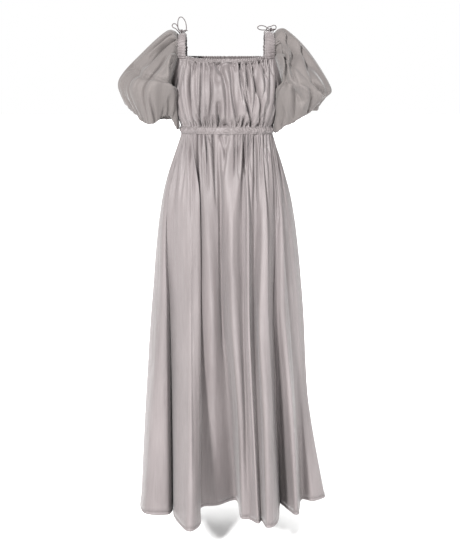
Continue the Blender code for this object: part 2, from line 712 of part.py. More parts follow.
right_edge, left_edge = strap_ends("right")[0], strap_ends("left")[0]
bodice_panel("bodice_front", -90, 90, BODICE_FRONT_GATHERS, 0)
bodice_panel("bodice_back", 90, 270, BODICE_BACK_GATHERS, BODICE_FRONT_GATHERS)
neck_casing("neck_casing_front", right_edge + NECK_TRIM, left_edge - NECK_TRIM)
neck_casing("neck_casing_back", 180 - left_edge + NECK_TRIM, 180 - right_edge - NECK_TRIM)
waist_casing()
skirt_top = WAIST_BOTTOM - SEAM
skirt_rows = (skirt_top, -0.306, -0.376, -0.480, -0.640, -0.820, -1.000, -1.180, HEM)
fronts, folds = len(FRONT_FOLDS), len(FRONT_FOLDS) + len(BACK_FOLDS)
skirt_panel("skirt_front", 0, fronts, skirt_rows)
skirt_panel("skirt_back", fronts, folds, skirt_rows)
for shoulder in STRAPS:
    strap_casing(shoulder)
    sleeve(shoulder)
    cuff_band(shoulder)
    knot(shoulder)
    for strand in TIES[shoulder]:
        tie(shoulder, strand)
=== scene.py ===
import math
import random

import bpy
import numpy as np
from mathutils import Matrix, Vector, noise


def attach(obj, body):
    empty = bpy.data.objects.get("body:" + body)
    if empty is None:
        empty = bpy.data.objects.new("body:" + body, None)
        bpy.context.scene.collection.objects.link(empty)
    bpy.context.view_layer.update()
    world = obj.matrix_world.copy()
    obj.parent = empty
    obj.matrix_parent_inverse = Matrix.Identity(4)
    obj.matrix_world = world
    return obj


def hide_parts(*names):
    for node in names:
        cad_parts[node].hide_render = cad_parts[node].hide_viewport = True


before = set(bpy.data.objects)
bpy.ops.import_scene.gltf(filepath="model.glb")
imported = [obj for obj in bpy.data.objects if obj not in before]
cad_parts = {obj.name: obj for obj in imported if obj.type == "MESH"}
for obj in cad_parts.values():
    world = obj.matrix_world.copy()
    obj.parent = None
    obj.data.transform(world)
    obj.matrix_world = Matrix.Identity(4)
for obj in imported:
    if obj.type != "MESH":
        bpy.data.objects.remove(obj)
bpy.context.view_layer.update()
bpy.ops.object.select_all(action="DESELECT")
mm = 0.001
seamGap = 0.00012  # left between two pieces that are sewn together
print("dress: frame loaded")

# the room: camera, lamps, sky and floor
room = {
    "cameraPlace": (0.0085, -3.2, -0.09),
    "cameraTilt": 79.544,  # degrees up from straight down
    "lens": 73.83,
    "floorHeight": -1.47,
    "floorColour": (0.97, 0.97, 0.965, 1),
    "skyColour": (1.0, 1.0, 1.0, 1),
    "skyStrength": 1.0,
    # name, kind, place, size, strength
    "lamps": (
        ("keyLamp", "SUN", (-1.6, -4.0, 1.6), math.radians(6), 7.1),
        ("sideLamp", "AREA", (1.0, -2.2, -1.2), 0.9, 46),
        ("backLamp", "AREA", (0.6, 3.6, 1.2), 2.0, 130),
    ),
}

bpy.ops.object.camera_add(
    location=room["cameraPlace"], rotation=(math.radians(room["cameraTilt"]), 0, 0)
)
camera = bpy.context.object
camera.name = "camera"
camera.data.lens = room["lens"]
camera.data.sensor_width = 36
camera.data.clip_end = 60
bpy.context.scene.camera = camera
bpy.context.scene.view_settings.view_transform = "Standard"

for lampName, lampKind, lampPlace, lampSize, lampStrength in room["lamps"]:
    bpy.ops.object.light_add(type=lampKind, location=lampPlace)
    lamp = bpy.context.object
    lamp.name = lampName
    lamp.data.energy = lampStrength
    if lampKind == "SUN":
        lamp.data.angle = lampSize
    else:
        lamp.data.size = lampSize
    lamp.rotation_euler = (Vector((0, 0, -0.6)) - lamp.location).to_track_quat("-Z", "Y").to_euler()

sky = bpy.data.worlds.new("softRoom")
sky.use_nodes = True
sky.node_tree.nodes["Background"].inputs["Color"].default_value = room["skyColour"]
sky.node_tree.nodes["Background"].inputs["Strength"].default_value = room["skyStrength"]
bpy.context.scene.world = sky

bpy.ops.mesh.primitive_plane_add(size=60, location=(0, 0, room["floorHeight"]))
floor = bpy.context.object
floor.name = "floor"
floorPaint = bpy.data.materials.new("floorPaint")
floorPaint.use_nodes = True
floorPaint.node_tree.nodes["Principled BSDF"].inputs["Base Color"].default_value = room["floorColour"]
floorPaint.node_tree.nodes["Principled BSDF"].inputs["Roughness"].default_value = 0.9
floor.data.materials.append(floorPaint)
bpy.ops.object.select_all(action="DESELECT")
print("dress: room ready")


# curves and small helpers
def smooth(stations, values, place):
    # the value at a place on the smooth curve through values that stand at stations
    last = len(stations) - 1
    low = 0
    while low < last - 1 and (place - stations[low + 1]) * (stations[-1] - stations[0]) > 0:
        low += 1
    high = low + 1
    span = stations[high] - stations[low]
    before, after = max(low - 1, 0), min(high + 1, last)
    leaving = (values[high] - values[before]) / (stations[high] - stations[before]) * span
    arriving = (values[after] - values[low]) / (stations[after] - stations[low]) * span
    t = (place - stations[low]) / span
    return (
        values[low] * (2 * t**3 - 3 * t**2 + 1)
        + leaving * (t**3 - 2 * t**2 + t)
        + values[high] * (3 * t**2 - 2 * t**3)
        + arriving * (t**3 - t**2)
    )


def around(values, place):
    # the same on a closed curve through values one step apart
    start = math.floor(place)
    near = [values[(start + step) % len(values)] for step in (-1, 0, 1, 2)]
    return smooth((-1, 0, 1, 2), near, place - start)


def eased(low, high, place):
    t = min(max((place - low) / (high - low), 0.0), 1.0)
    return t * t * (3 - 2 * t)


def edgeGathers(first, last, count, reach, depth, seed, edge=0.0, way=1, wide=1.0):
    # grooves that run in from a gathered edge, uneven in place, lean, length, width and depth
    dice = random.Random(seed)
    found = []
    for index in range(count):
        start = first + (last - first) * (index + 0.5 + dice.uniform(-0.3, 0.3)) / count
        length = reach * dice.choice((0.3, 0.45, 0.6, 0.85, 1.0))
        lean = (last - first) / count * dice.uniform(-1.3, 1.3)
        points = [(start + lean * share, edge + way * length * share) for share in (-0.45, 0.25, 1)]
        width = dice.uniform(1.1, 2.2) * wide
        found.append((points, width, width * dice.uniform(0.7, 1.5), -depth * dice.uniform(0.5, 1)))
    return found


def creaseField(across, down, scale, creases, widen, deepen):
    # how far the creases raise the cloth, for rows of points across and down the cloth;
    # a crease is its points, its width in mm on the left and on the right, and its height in mm
    acrossGrid, downGrid = np.meshgrid(np.array(across) * scale[0], np.array(down) * scale[1])
    field = np.zeros(acrossGrid.shape)
    for points, leftWidth, rightWidth, height in creases:
        route = [Vector((point[0] * scale[0], point[1] * scale[1])) for point in points]
        steps = 5 * (len(route) - 1)
        fine = [smooth(range(len(route)), route, step / 5) for step in range(steps + 1)]
        nearest = np.full(field.shape, 9.0)
        onSide, along = np.zeros(field.shape), np.zeros(field.shape)
        for step, (one, two) in enumerate(zip(fine, fine[1:])):
            run = two - one
            share = ((acrossGrid - one.x) * run.x + (downGrid - one.y) * run.y) / run.length_squared
            share = np.clip(share, 0, 1)
            offAcross, offDown = acrossGrid - one.x - run.x * share, downGrid - one.y - run.y * share
            gap = np.hypot(offAcross, offDown)
            closer = gap < nearest
            nearest = np.where(closer, gap, nearest)
            onSide = np.where(closer, run.x * offDown - run.y * offAcross, onSide)
            along = np.where(closer, (step + share) / steps, along)
        width = np.where(onSide < 0, rightWidth, leftWidth) * widen * mm
        field += height * deepen * mm * np.exp(-((nearest / width) ** 2)) * np.sin(np.pi * along) ** 0.6
    return field


def ruche(place, seed=0.0):
    # little pillows between sharp valleys, one to each unit
    bent = place + 0.14 * math.sin(1.7 * place + seed) + 0.06 * math.sin(4.1 * place + 1 + seed)
    return abs(math.sin(math.pi * bent)) ** 1.1


# cloth and cord finishes
satinLook = {
    "dark": (0.104, 0.090, 0.090, 1),
    "light": (0.156, 0.137, 0.137, 1),
    "rough": (0.44, 0.56),
    "gloss": 0.4,
    "sheen": 0.15,
    "sheenRough": 0.4,
    # patterns across and along the cloth, for each metre
    "cloud": (9, 3),
    "streak": (210, 14),
    "crinkle": (70, 14),
    "grain": (1500, 420),
    "cloudColour": 0.55,  # how much of the colour follows the clouds and the streaks
    "streakColour": 0.30,
    "heights": (0.15, 0.25, 0.32),  # of streak, crinkle and grain
    "bump": 0.75,
    "bumpHeight": 0.0022,
}
casingLook = dict(
    satinLook, dark=(0.092, 0.079, 0.079, 1), light=(0.148, 0.130, 0.130, 1), rough=(0.42, 0.6)
)
chiffonLook = dict(
    satinLook, dark=(0.080, 0.071, 0.068, 1), light=(0.118, 0.105, 0.101, 1), rough=(0.78, 0.92),
    streak=(300, 60), crinkle=(60, 30), grain=(1300, 1300), heights=(0.20, 0.55, 0.40), bump=0.30,
)
braidLook = {
    "pattern": "ShaderNodeTexWave",
    "settings": {"bands_direction": "DIAGONAL"},
    "dark": (0.045, 0.036, 0.036, 1),
    "light": (0.115, 0.095, 0.095, 1),
    "twist": 900,
    "distortion": 1.5,
    "rough": 0.7,
    "bump": 0.5,
    "bumpHeight": 0.0004,
}
threadLook = {
    "pattern": "ShaderNodeTexNoise",
    "settings": {},
    "dark": (0.070, 0.058, 0.058, 1),
    "light": (0.130, 0.112, 0.112, 1),
    "twist": 1800,
    "distortion": 0,
    "rough": 0.6,
    "bump": 0,
}


def addNode(tree, kind, place, **settings):
    node = tree.nodes.new(kind)
    node.location = place
    for setting, value in settings.items():
        setattr(node, setting, value)
    return node


def clothNoise(tree, coordinates, scale, place, detail, distortion=0.0):
    # noise stretched along the cloth, in the cloth's own metres
    mapping = addNode(tree, "ShaderNodeMapping", place)
    mapping.inputs["Scale"].default_value = (scale[0], scale[1], 1)
    texture = addNode(tree, "ShaderNodeTexNoise", (place[0] + 200, place[1]))
    texture.inputs["Scale"].default_value = 1
    texture.inputs["Detail"].default_value = detail
    texture.inputs["Distortion"].default_value = distortion
    tree.links.new(coordinates, mapping.inputs["Vector"])
    tree.links.new(mapping.outputs["Vector"], texture.inputs["Vector"])
    return texture.outputs["Fac"]


def spread(tree, value, low, high, place):
    # stretches the middle of a noise to the range from low to high
    node = addNode(tree, "ShaderNodeMapRange", place)
    node.inputs["From Min"].default_value = 0.32
    node.inputs["From Max"].default_value = 0.68
    node.inputs["To Min"].default_value = low
    node.inputs["To Max"].default_value = high
    tree.links.new(value, node.inputs["Value"])
    return node.outputs["Result"]


def makeCloth(name, look):
    cloth = bpy.data.materials.new(name)
    cloth.use_nodes = True
    tree = cloth.node_tree
    shader = tree.nodes["Principled BSDF"]
    coordinates = addNode(tree, "ShaderNodeTexCoord", (-1400, 0)).outputs["UV"]
    streak = clothNoise(tree, coordinates, look["streak"], (-1200, 300), 3)
    crinkle = clothNoise(tree, coordinates, look["crinkle"], (-1200, 0), 4, 0.6)
    grain = clothNoise(tree, coordinates, look["grain"], (-1200, -300), 1)
    cloud = clothNoise(tree, coordinates, look["cloud"], (-1200, 600), 2)
    blend = addNode(tree, "ShaderNodeMath", (-600, 420), operation="MULTIPLY_ADD")
    tree.links.new(spread(tree, cloud, 0, look["cloudColour"], (-800, 600)), blend.inputs[0])
    blend.inputs[1].default_value = 1
    tree.links.new(spread(tree, streak, 0, look["streakColour"], (-800, 420)), blend.inputs[2])
    colour = addNode(tree, "ShaderNodeMix", (-400, 420), data_type="RGBA")
    colour.inputs["A"].default_value = look["dark"]
    colour.inputs["B"].default_value = look["light"]
    tree.links.new(blend.outputs["Value"], colour.inputs["Factor"])
    tree.links.new(colour.outputs["Result"], shader.inputs["Base Color"])
    tree.links.new(spread(tree, crinkle, *look["rough"], (-400, 160)), shader.inputs["Roughness"])
    height = None
    for value, share in zip((streak, crinkle, grain), look["heights"]):
        layer = addNode(tree, "ShaderNodeMath", (-600, -200), operation="MULTIPLY_ADD")
        layer.inputs[1].default_value = share
        layer.inputs[2].default_value = 0
        tree.links.new(value, layer.inputs[0])
        if height is not None:
            tree.links.new(height, layer.inputs[2])
        height = layer.outputs["Value"]
    bump = addNode(tree, "ShaderNodeBump", (-200, -200))
    bump.inputs["Strength"].default_value = look["bump"]
    bump.inputs["Distance"].default_value = look["bumpHeight"]
    tree.links.new(height, bump.inputs["Height"])
    tree.links.new(bump.outputs["Normal"], shader.inputs["Normal"])
    shader.inputs["Specular IOR Level"].default_value = look["gloss"]
    shader.inputs["Sheen Weight"].default_value = look["sheen"]
    shader.inputs["Sheen Roughness"].default_value = look["sheenRough"]
    return cloth


def makeThread(name, look):
    # a twisted cord or thread, on the piece's own coordinates
    thread = bpy.data.materials.new(name)
    thread.use_nodes = True
    tree = thread.node_tree
    shader = tree.nodes["Principled BSDF"]
    coordinates = addNode(tree, "ShaderNodeTexCoord", (-900, 0)).outputs["Object"]
    twist = addNode(tree, look["pattern"], (-700, 0), **look["settings"])
    twist.inputs["Scale"].default_value = look["twist"]
    twist.inputs["Distortion"].default_value = look["distortion"]
    tree.links.new(coordinates, twist.inputs["Vector"])
    colour = addNode(tree, "ShaderNodeMix", (-400, 100), data_type="RGBA")
    colour.inputs["A"].default_value = look["dark"]
    colour.inputs["B"].default_value = look["light"]
    tree.links.new(twist.outputs["Fac"], colour.inputs["Factor"])
    tree.links.new(colour.outputs["Result"], shader.inputs["Base Color"])
    shader.inputs["Roughness"].default_value = look["rough"]
    if look["bump"]:
        bump = addNode(tree, "ShaderNodeBump", (-400, -200))
        bump.inputs["Strength"].default_value = look["bump"]
        bump.inputs["Distance"].default_value = look["bumpHeight"]
        tree.links.new(twist.outputs["Fac"], bump.inputs["Height"])
        tree.links.new(bump.outputs["Normal"], shader.inputs["Normal"])
    return thread


satinCloth = makeCloth("satinCloth", satinLook)
sleeveChiffon = makeCloth("sleeveChiffon", chiffonLook)
ruchedCasing = makeCloth("ruchedCasing", casingLook)
braidCord = makeThread("braidCord", braidLook)
sewingThread = makeThread("sewingThread", threadLook)
print("dress: finishes ready")


# cloth walls
def clothPiece(name, outer, inner, closed, flat, material, shares=None, flip=False):
    # a closed thin wall between two grids, rows from the top down, with the cut cloth as its UV map
    rows, columns = len(outer), len(outer[0])
    shares = shares or [row / (rows - 1) for row in range(rows)]
    across = columns if closed else columns - 1
    points = [point for grid in (outer, inner) for line in grid for point in line]
    faces, uvs = [], []

    def addFace(corners):
        if flip:
            corners = corners[::-1]
        faces.append([(side * rows + row) * columns + column % columns for side, row, column in corners])
        for _, row, column in corners:
            uvs.extend((flat[0] * column / across, -flat[1] * shares[row]))

    for column in range(across):
        for row in range(rows - 1):
            addFace(((0, row, column), (0, row + 1, column), (0, row + 1, column + 1), (0, row, column + 1)))
            addFace(((1, row, column + 1), (1, row + 1, column + 1), (1, row + 1, column), (1, row, column)))
        addFace(((0, 0, column), (0, 0, column + 1), (1, 0, column + 1), (1, 0, column)))
        last = rows - 1
        addFace(((1, last, column), (1, last, column + 1), (0, last, column + 1), (0, last, column)))
    if not closed:
        for row in range(rows - 1):
            addFace(((1, row, 0), (1, row + 1, 0), (0, row + 1, 0), (0, row, 0)))
            addFace(((0, row, across), (0, row + 1, across), (1, row + 1, across), (1, row, across)))
    mesh = bpy.data.meshes.new(name)
    mesh.from_pydata(points, [], faces)
    mesh.uv_layers.new(name="clothMap").data.foreach_set("uv", uvs)
    mesh.materials.append(material)
    mesh.shade_smooth()
    piece = bpy.data.objects.new(name, mesh)
    bpy.context.scene.collection.objects.link(piece)
    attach(piece, "root")
    return piece


def thinWalls(middle, closed, thickness, outSide=1):
    # the two sides of a thin cloth whose middle is a grid of points
    columns = len(middle[0])
    outer, inner = [], []
    for row, line in enumerate(middle):
        above, below = middle[max(row - 1, 0)], middle[min(row + 1, len(middle) - 1)]
        outerLine, innerLine = [], []
        for column, point in enumerate(line):
            if closed:
                left, right = line[column - 1], line[(column + 1) % columns]
            else:
                left, right = line[max(column - 1, 0)], line[min(column + 1, columns - 1)]
            down = (point - above[column]).normalized() + (below[column] - point).normalized()
            out = (right - left).cross(-down).normalized() * outSide
            outerLine.append(point + out * thickness / 2)
            innerLine.append(point - out * thickness / 2)
        outer.append(outerLine)
        inner.append(innerLine)
    return outer, inner


# the worn shape that the dress keeps
worn = {
    "squareness": 2.6,
    # height, half width, depth in front, depth behind, in mm
    "sections": (
        (-40, 152, 93, 82), (-67, 155, 97, 85), (-150, 155, 130, 96),
        (-215, 141, 122, 90), (-251, 128, 104, 86), (-271, 127, 102, 85),
    ),
    "waistTop": -0.2515,
    "waistBottom": -0.2700,
    "neckDip": -0.0763,
    "neckSide": -0.0673,
    "underarm": -0.175,
    "armholeScoop": 1.6,
}


def bodiceSection(height):
    stations = [row[0] * mm for row in worn["sections"]]
    sizes = [Vector(row[1:]) * mm for row in worn["sections"]]
    return smooth(stations, sizes, height)


def bodicePoint(degrees, height):
    # by degrees from the middle of the front to the dress's left
    width, front, back = bodiceSection(height)
    angle = math.radians(degrees)
    power = 2 / worn["squareness"]
    x = math.copysign(abs(math.sin(angle)) ** power, math.sin(angle)) * width
    depth = -front if math.cos(angle) > 0 else back
    return Vector((x, abs(math.cos(angle)) ** power * depth, height))


def bodiceNormal(degrees, height):
    along = bodicePoint(degrees + 1, height) - bodicePoint(degrees - 1, height)
    return Vector((along.y, -along.x, 0)).normalized()


def degreesAt(x, height):
    share = abs(x) / bodiceSection(height)[0]
    return math.copysign(math.degrees(math.asin(share ** (worn["squareness"] / 2))), x)


# straps
strap = {
    # side, x of the inner and the outer edge at the front, height of the top, in mm
    "right": (-1, 112.5, 133.0, -2.0),
    "left": (1, 103.0, 130.0, 3.0),
    # y as a share of the section's depth, and height as a share of the rise, front to back
    "arch": (
        (-1.00, 0.00), (-0.98, 0.30), (-0.80, 0.68), (-0.42, 0.94), (0.00, 1.00),
        (0.42, 0.93), (0.80, 0.67), (0.98, 0.30), (1.00, 0.00),
    ),
    "slope": 0.20,
    "casing": 0.0024,
    "ruches": 25,
    "rowsPerRuche": 8,
    "puff": 0.0025,
    "frill": 0.0024,  # how far the edges swing in and out with the ruches
    "arching": 0.0008,
    # a stitched groove beside each edge: depth as a share of the puff, place and width across
    "groove": (0.9, 0.13, 0.05),
    "flat": (0.0225, 0.26),
}
sides = ("right", "left")


def strapEnds(sideName):
    side, inner, outer, _ = strap[sideName]
    return [degreesAt(side * edge * mm, worn["neckSide"]) for edge in (inner, outer)]


def strapEdges(sideName, along):
    # the inner and the outer edge, 0 at the front end and 1 at the back
    side, inner, outer, top = strap[sideName]
    arch = strap["arch"]
    place = along * (len(arch) - 1)
    stations = range(len(arch))
    forward = smooth(stations, [row[0] for row in arch], place)
    rise = smooth(stations, [row[1] for row in arch], place)
    foot = worn["neckSide"] + seamGap
    height = foot + (top * mm - foot) * rise
    ends = [d if forward < 0 else 180 - d for d in strapEnds(sideName)]
    middle = bodicePoint(ends[0], foot)
    level = rise**2
    edges = []
    for degrees, edge in zip(ends, (inner, outer)):
        end = bodicePoint(degrees, foot)
        x = end.x * (1 - level) + side * edge * mm * level
        edges.append(Vector((x, abs(forward) * (end.y * (1 - level) + middle.y * level), height)))
    width = abs(edges[1].x - edges[0].x)
    fall = strap["slope"] * width / 2 * eased(0.1, 0.7, rise)
    edges[0].z += fall
    edges[1].z -= fall
    return edges


def strapCasing(sideName):
    side = strap[sideName][0]
    rows = strap["ruches"] * strap["rowsPerRuche"]
    acrossShares = (0, 0.07, 0.15, 0.3, 0.5, 0.7, 0.85, 0.93, 1)
    deep, groovePlace, grooveWidth = strap["groove"]
    outerGrid, innerGrid = [], []
    for row in range(rows + 1):
        along = row / rows
        inner, outer = strapEdges(sideName, along)
        before = strapEdges(sideName, max(along - 0.01, 0))
        after = strapEdges(sideName, min(along + 0.01, 1))
        run = (after[0] + after[1] - before[0] - before[1]).normalized()
        across = (outer - inner).normalized()
        out = across.cross(run).normalized() * side
        if out.dot(Vector((0, inner.y, 0.05))) < 0:
            out = -out
        if row in (0, rows):
            out = Vector((out.x, out.y, 0)).normalized()
        lines = ([], [])
        for share in acrossShares:
            skew = 0.175 * math.sin(3 * share + 0.7 * along * strap["ruches"])
            pillow = ruche(row / strap["rowsPerRuche"] + skew, 0.6)
            fromEdge = min(share, 1 - share)
            groove = 1 - deep * math.exp(-(((fromEdge - groovePlace) / grooveWidth) ** 2))
            raised = strap["puff"] * pillow * groove * math.sin(math.pi * (0.08 + 0.84 * share)) ** 0.4
            pillow *= 0.7 + 0.3 * math.sin(1.9 * row / strap["rowsPerRuche"] + 2 * share)
            frill = across * (strap["frill"] * (pillow - 0.5) * (share - 0.5) * 2)
            point = inner.lerp(outer, share) + across * (seamGap * (1 - share)) + frill
            point += out * (strap["arching"] * math.sin(math.pi * share))
            lines[0].append(point + out * (strap["casing"] / 2 + raised))
            lines[1].append(point - out * (strap["casing"] / 2 + 0.4 * raised))
        outerGrid.append(lines[0])
        innerGrid.append(lines[1])
    name = "strapCasing" + sideName.capitalize()
    piece = clothPiece(
        name, outerGrid, innerGrid, False, strap["flat"], ruchedCasing, flip=side < 0
    )
    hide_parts("strap_casing_" + sideName)
    return piece


# the shoulder ties
tie = {
    "cord": 0.0026,
    "step": 0.0022,
    "knotReach": 0.0062,
    "knotRoom": 0.0019,  # between the knot and the wall of the strap
    "knotAcross": {"right": 0.62, "left": 0.68},
    "length": {
        "right_front": 0.117, "right_back": 0.152,
        "left_front": 0.125, "left_back": 0.087,
    },
    # points in mm from the middle of the knot, x to the dress's left, y to the back, z up
    "right_front": (
        (7.0, -18.0, -4.8), (8.2, -14.0, -2.8), (9.0, -9.4, -1.2), (8.2, -4.6, -1.4),
        (5.6, -1.8, -1.45), (2.6, -1.45, -1.45), (-2.6, -1.45, -1.45), (-7.0, -1.6, -1.2),
        (-11.6, -3.0, 2.6), (-17.0, -4.2, 8.2), (-23.0, -4.4, 10.4), (-26.0, -4.0, 15.6),
        (-22.4, -3.4, 20.6), (-16.0, -2.8, 20.0), (-11.8, -2.2, 14.4), (-8.2, -1.7, 7.0),
        (-5.4, -1.5, 2.4), (-2.6, -1.45, 1.45), (3.6, -1.45, 1.45), (7.6, -2.4, 2.4),
        (12.4, -5.4, 3.4), (16.4, -10.0, 1.6),
    ),
    "right_back": (
        (-4.6, 17.8, -7.4), (-6.6, 14.0, -2.8), (-8.6, 9.6, -1.2), (-7.8, 4.8, -1.4),
        (-5.2, 2.0, -1.45), (-2.6, 1.45, -1.45), (2.6, 1.45, -1.45), (7.6, 1.45, -1.6),
        (11.8, 1.7, 1.8), (13.2, 1.9, 8.6), (12.6, 2.1, 17.6), (10.6, 2.2, 26.0),
        (6.4, 2.3, 33.6), (0.6, 2.4, 38.8), (-5.2, 2.4, 38.2), (-9.2, 2.4, 31.6),
        (-10.6, 2.3, 22.4), (-10.4, 2.2, 13.4), (-8.8, 1.8, 5.8), (-5.6, 1.5, 2.2),
        (-2.6, 1.45, 1.45), (2.6, 1.45, 1.45), (6.4, 1.8, 1.7), (8.4, 5.4, 2.8),
        (9.4, 10.2, 2.4), (9.8, 15.2, 1.2),
    ),
    "left_front": (
        (4.6, -18.0, -7.3), (6.4, -14.0, -2.8), (7.6, -9.4, -1.2), (7.2, -4.6, -1.4),
        (5.2, -1.9, -1.45), (2.6, -1.45, -1.45), (-2.6, -1.45, -1.45), (-8.0, -1.8, -1.2),
        (-16.0, -3.0, -0.6), (-25.0, -4.4, -0.6), (-33.0, -5.2, 1.4), (-37.0, -5.4, 5.6),
        (-33.6, -5.0, 9.8), (-25.4, -4.2, 11.4), (-16.4, -3.0, 9.2), (-10.0, -2.0, 5.0),
        (-6.2, -1.5, 2.1), (-2.6, -1.45, 1.45), (2.6, -1.45, 1.45), (7.0, -2.6, 1.6),
        (10.4, -6.4, 1.6), (12.0, -12.0, 0.4),
    ),
    "left_back": (
        (-5.2, 18.4, -5.5), (-7.4, 14.0, -2.8), (-9.0, 9.6, -1.2), (-8.0, 4.8, -1.4),
        (-5.2, 2.0, -1.45), (-2.6, 1.45, -1.45), (2.6, 1.45, -1.45), (7.6, 1.6, -0.8),
        (12.8, 1.8, 2.2), (14.6, 2.0, 7.6), (11.4, 2.1, 12.2), (6.0, 2.0, 12.0),
        (1.0, 2.2, 9.6), (-4.2, 3.4, 8.6), (-8.4, 6.6, 6.6), (-11.4, 11.4, 3.0),
        (-13.4, 16.4, -2.4),
    ),
}


def knotMiddle(sideName):
    inner, outer = strapEdges(sideName, 0.5)
    spot = inner.lerp(outer, tie["knotAcross"][sideName])
    spot.z += strap["casing"] / 2 + tie["knotRoom"] + tie["knotReach"]
    return spot


def tieCord(strand):
    sideName, way = strand.split("_")
    centre = knotMiddle(sideName)
    route = [centre + Vector(point) * mm for point in tie[strand]]
    stations = range(len(route))
    fine = [smooth(stations, route, step / 16) for step in range(16 * (len(route) - 1) + 1)]
    length = sum((two - one).length for one, two in zip(fine, fine[1:]))
    count = round(length / tie["step"])
    points, walked, wanted = [fine[0]], 0.0, length / count
    for one, two in zip(fine, fine[1:]):
        walked += (two - one).length
        if walked >= wanted and len(points) < count:
            points.append(two)
            wanted += length / count
    points.append(fine[-1])
    curve = bpy.data.curves.new("tie_" + strand, "CURVE")
    curve.dimensions = "3D"
    curve.bevel_depth = tie["cord"] / 2
    curve.bevel_resolution = 3
    curve.use_fill_caps = True
    line = curve.splines.new("POLY")
    line.points.add(len(points) - 1)
    for spot, point in zip(line.points, points):
        spot.co = (*point, 1)
    line.use_smooth = True
    curve.materials.append(braidCord)
    piece = bpy.data.objects.new("tieCord" + sideName.capitalize() + way.capitalize(), curve)
    bpy.context.scene.collection.objects.link(piece)
    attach(piece, "root")
    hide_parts("tie_" + strand)
    print("dress: tie", strand, "length", round(length, 4))
    return piece


knotLook = {"coil": 0.0050, "cord": 0.00118, "gap": 0.0024, "lean": 6}


def tieKnot(sideName):
    # two turns of the cord round the cords inside it
    centre = knotMiddle(sideName)
    turns = []
    for way in (-1, 1):
        bpy.ops.mesh.primitive_torus_add(
            major_radius=knotLook["coil"], minor_radius=knotLook["cord"],
            major_segments=32, minor_segments=12,
            location=centre + Vector((way * knotLook["gap"] / 2, 0, 0)),
            rotation=(0, math.radians(90 + way * knotLook["lean"]), math.radians(way * knotLook["lean"])),
        )
        turns.append(bpy.context.object)
    for turn in turns:
        turn.select_set(True)
    bpy.ops.object.join()
    knot = bpy.context.object
    bpy.ops.object.transform_apply(location=True, rotation=True, scale=True)
    bpy.ops.object.shade_smooth()
    knot.name = "tieKnot" + sideName.capitalize()
    knot.data.materials.append(braidCord)
    bpy.ops.object.select_all(action="DESELECT")
    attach(knot, "root")
    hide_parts("knot_" + sideName)
    return knot


for sideName in sides:
    tieKnot(sideName)
    tieCord(sideName + "_front")
    tieCord(sideName + "_back")
    strapCasing(sideName)
print("dress: straps and ties made")


# stitches
stitch = {"length": 0.0022, "width": 0.00045, "pitch": 0.0032, "stand": 0.0001, "sides": 6, "rings": 4}
bpy.ops.mesh.primitive_uv_sphere_add(segments=stitch["sides"], ring_count=stitch["rings"], radius=0.5)
stitchMaster = bpy.context.object
bpy.ops.object.mode_set(mode="EDIT")
bpy.ops.mesh.select_all(action="SELECT")
bpy.ops.transform.resize(value=(stitch["width"], stitch["width"], stitch["length"]))
bpy.ops.object.mode_set(mode="OBJECT")
stitchPoints = [vertex.co.copy() for vertex in stitchMaster.data.vertices]
stitchFaces = [tuple(face.vertices) for face in stitchMaster.data.polygons]
bpy.data.objects.remove(stitchMaster, do_unlink=True)


def sewRow(name, path):
    # a row of stitches along a path of points and ways out
    points, faces = [], []
    wanted = stitch["pitch"] / 2
    walked = 0.0
    for (one, outOne), (two, _) in zip(path, path[1:]):
        step = (two - one).length
        while walked + step >= wanted:
            spot = one.lerp(two, (wanted - walked) / step)
            along = (two - one).normalized()
            out = (outOne - along * outOne.dot(along)).normalized()
            side = out.cross(along)
            first = len(points)
            points.extend(spot + side * p.x + out * p.y + along * p.z for p in stitchPoints)
            faces.extend([first + index for index in face] for face in stitchFaces)
            wanted += stitch["pitch"]
        walked += step
    mesh = bpy.data.meshes.new(name)
    mesh.from_pydata(points, [], faces)
    mesh.materials.append(sewingThread)
    mesh.shade_smooth()
    piece = bpy.data.objects.new(name, mesh)
    bpy.context.scene.collection.objects.link(piece)
    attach(piece, "root")
    return piece


# bodice
def panelTop(degrees):
    # height of the upper edge: neckline, strap end, then armhole
    turned = (degrees + 180) % 360 - 180
    inFront = abs(turned) < 90
    fromMiddle = abs(turned) if inFront else 180 - abs(turned)
    inner, outer = [abs(edge) for edge in strapEnds("left" if turned > 0 else "right")]
    side, dip, under = worn["neckSide"], worn["neckDip"], worn["underarm"]
    if fromMiddle >= outer:
        down = (fromMiddle - outer) / (90 - outer)
        return under + (side - under) * (1 - down) ** worn["armholeScoop"]
    if fromMiddle >= inner or not inFront:
        return side
    return dip + (side - dip) * (fromMiddle / inner) ** 3


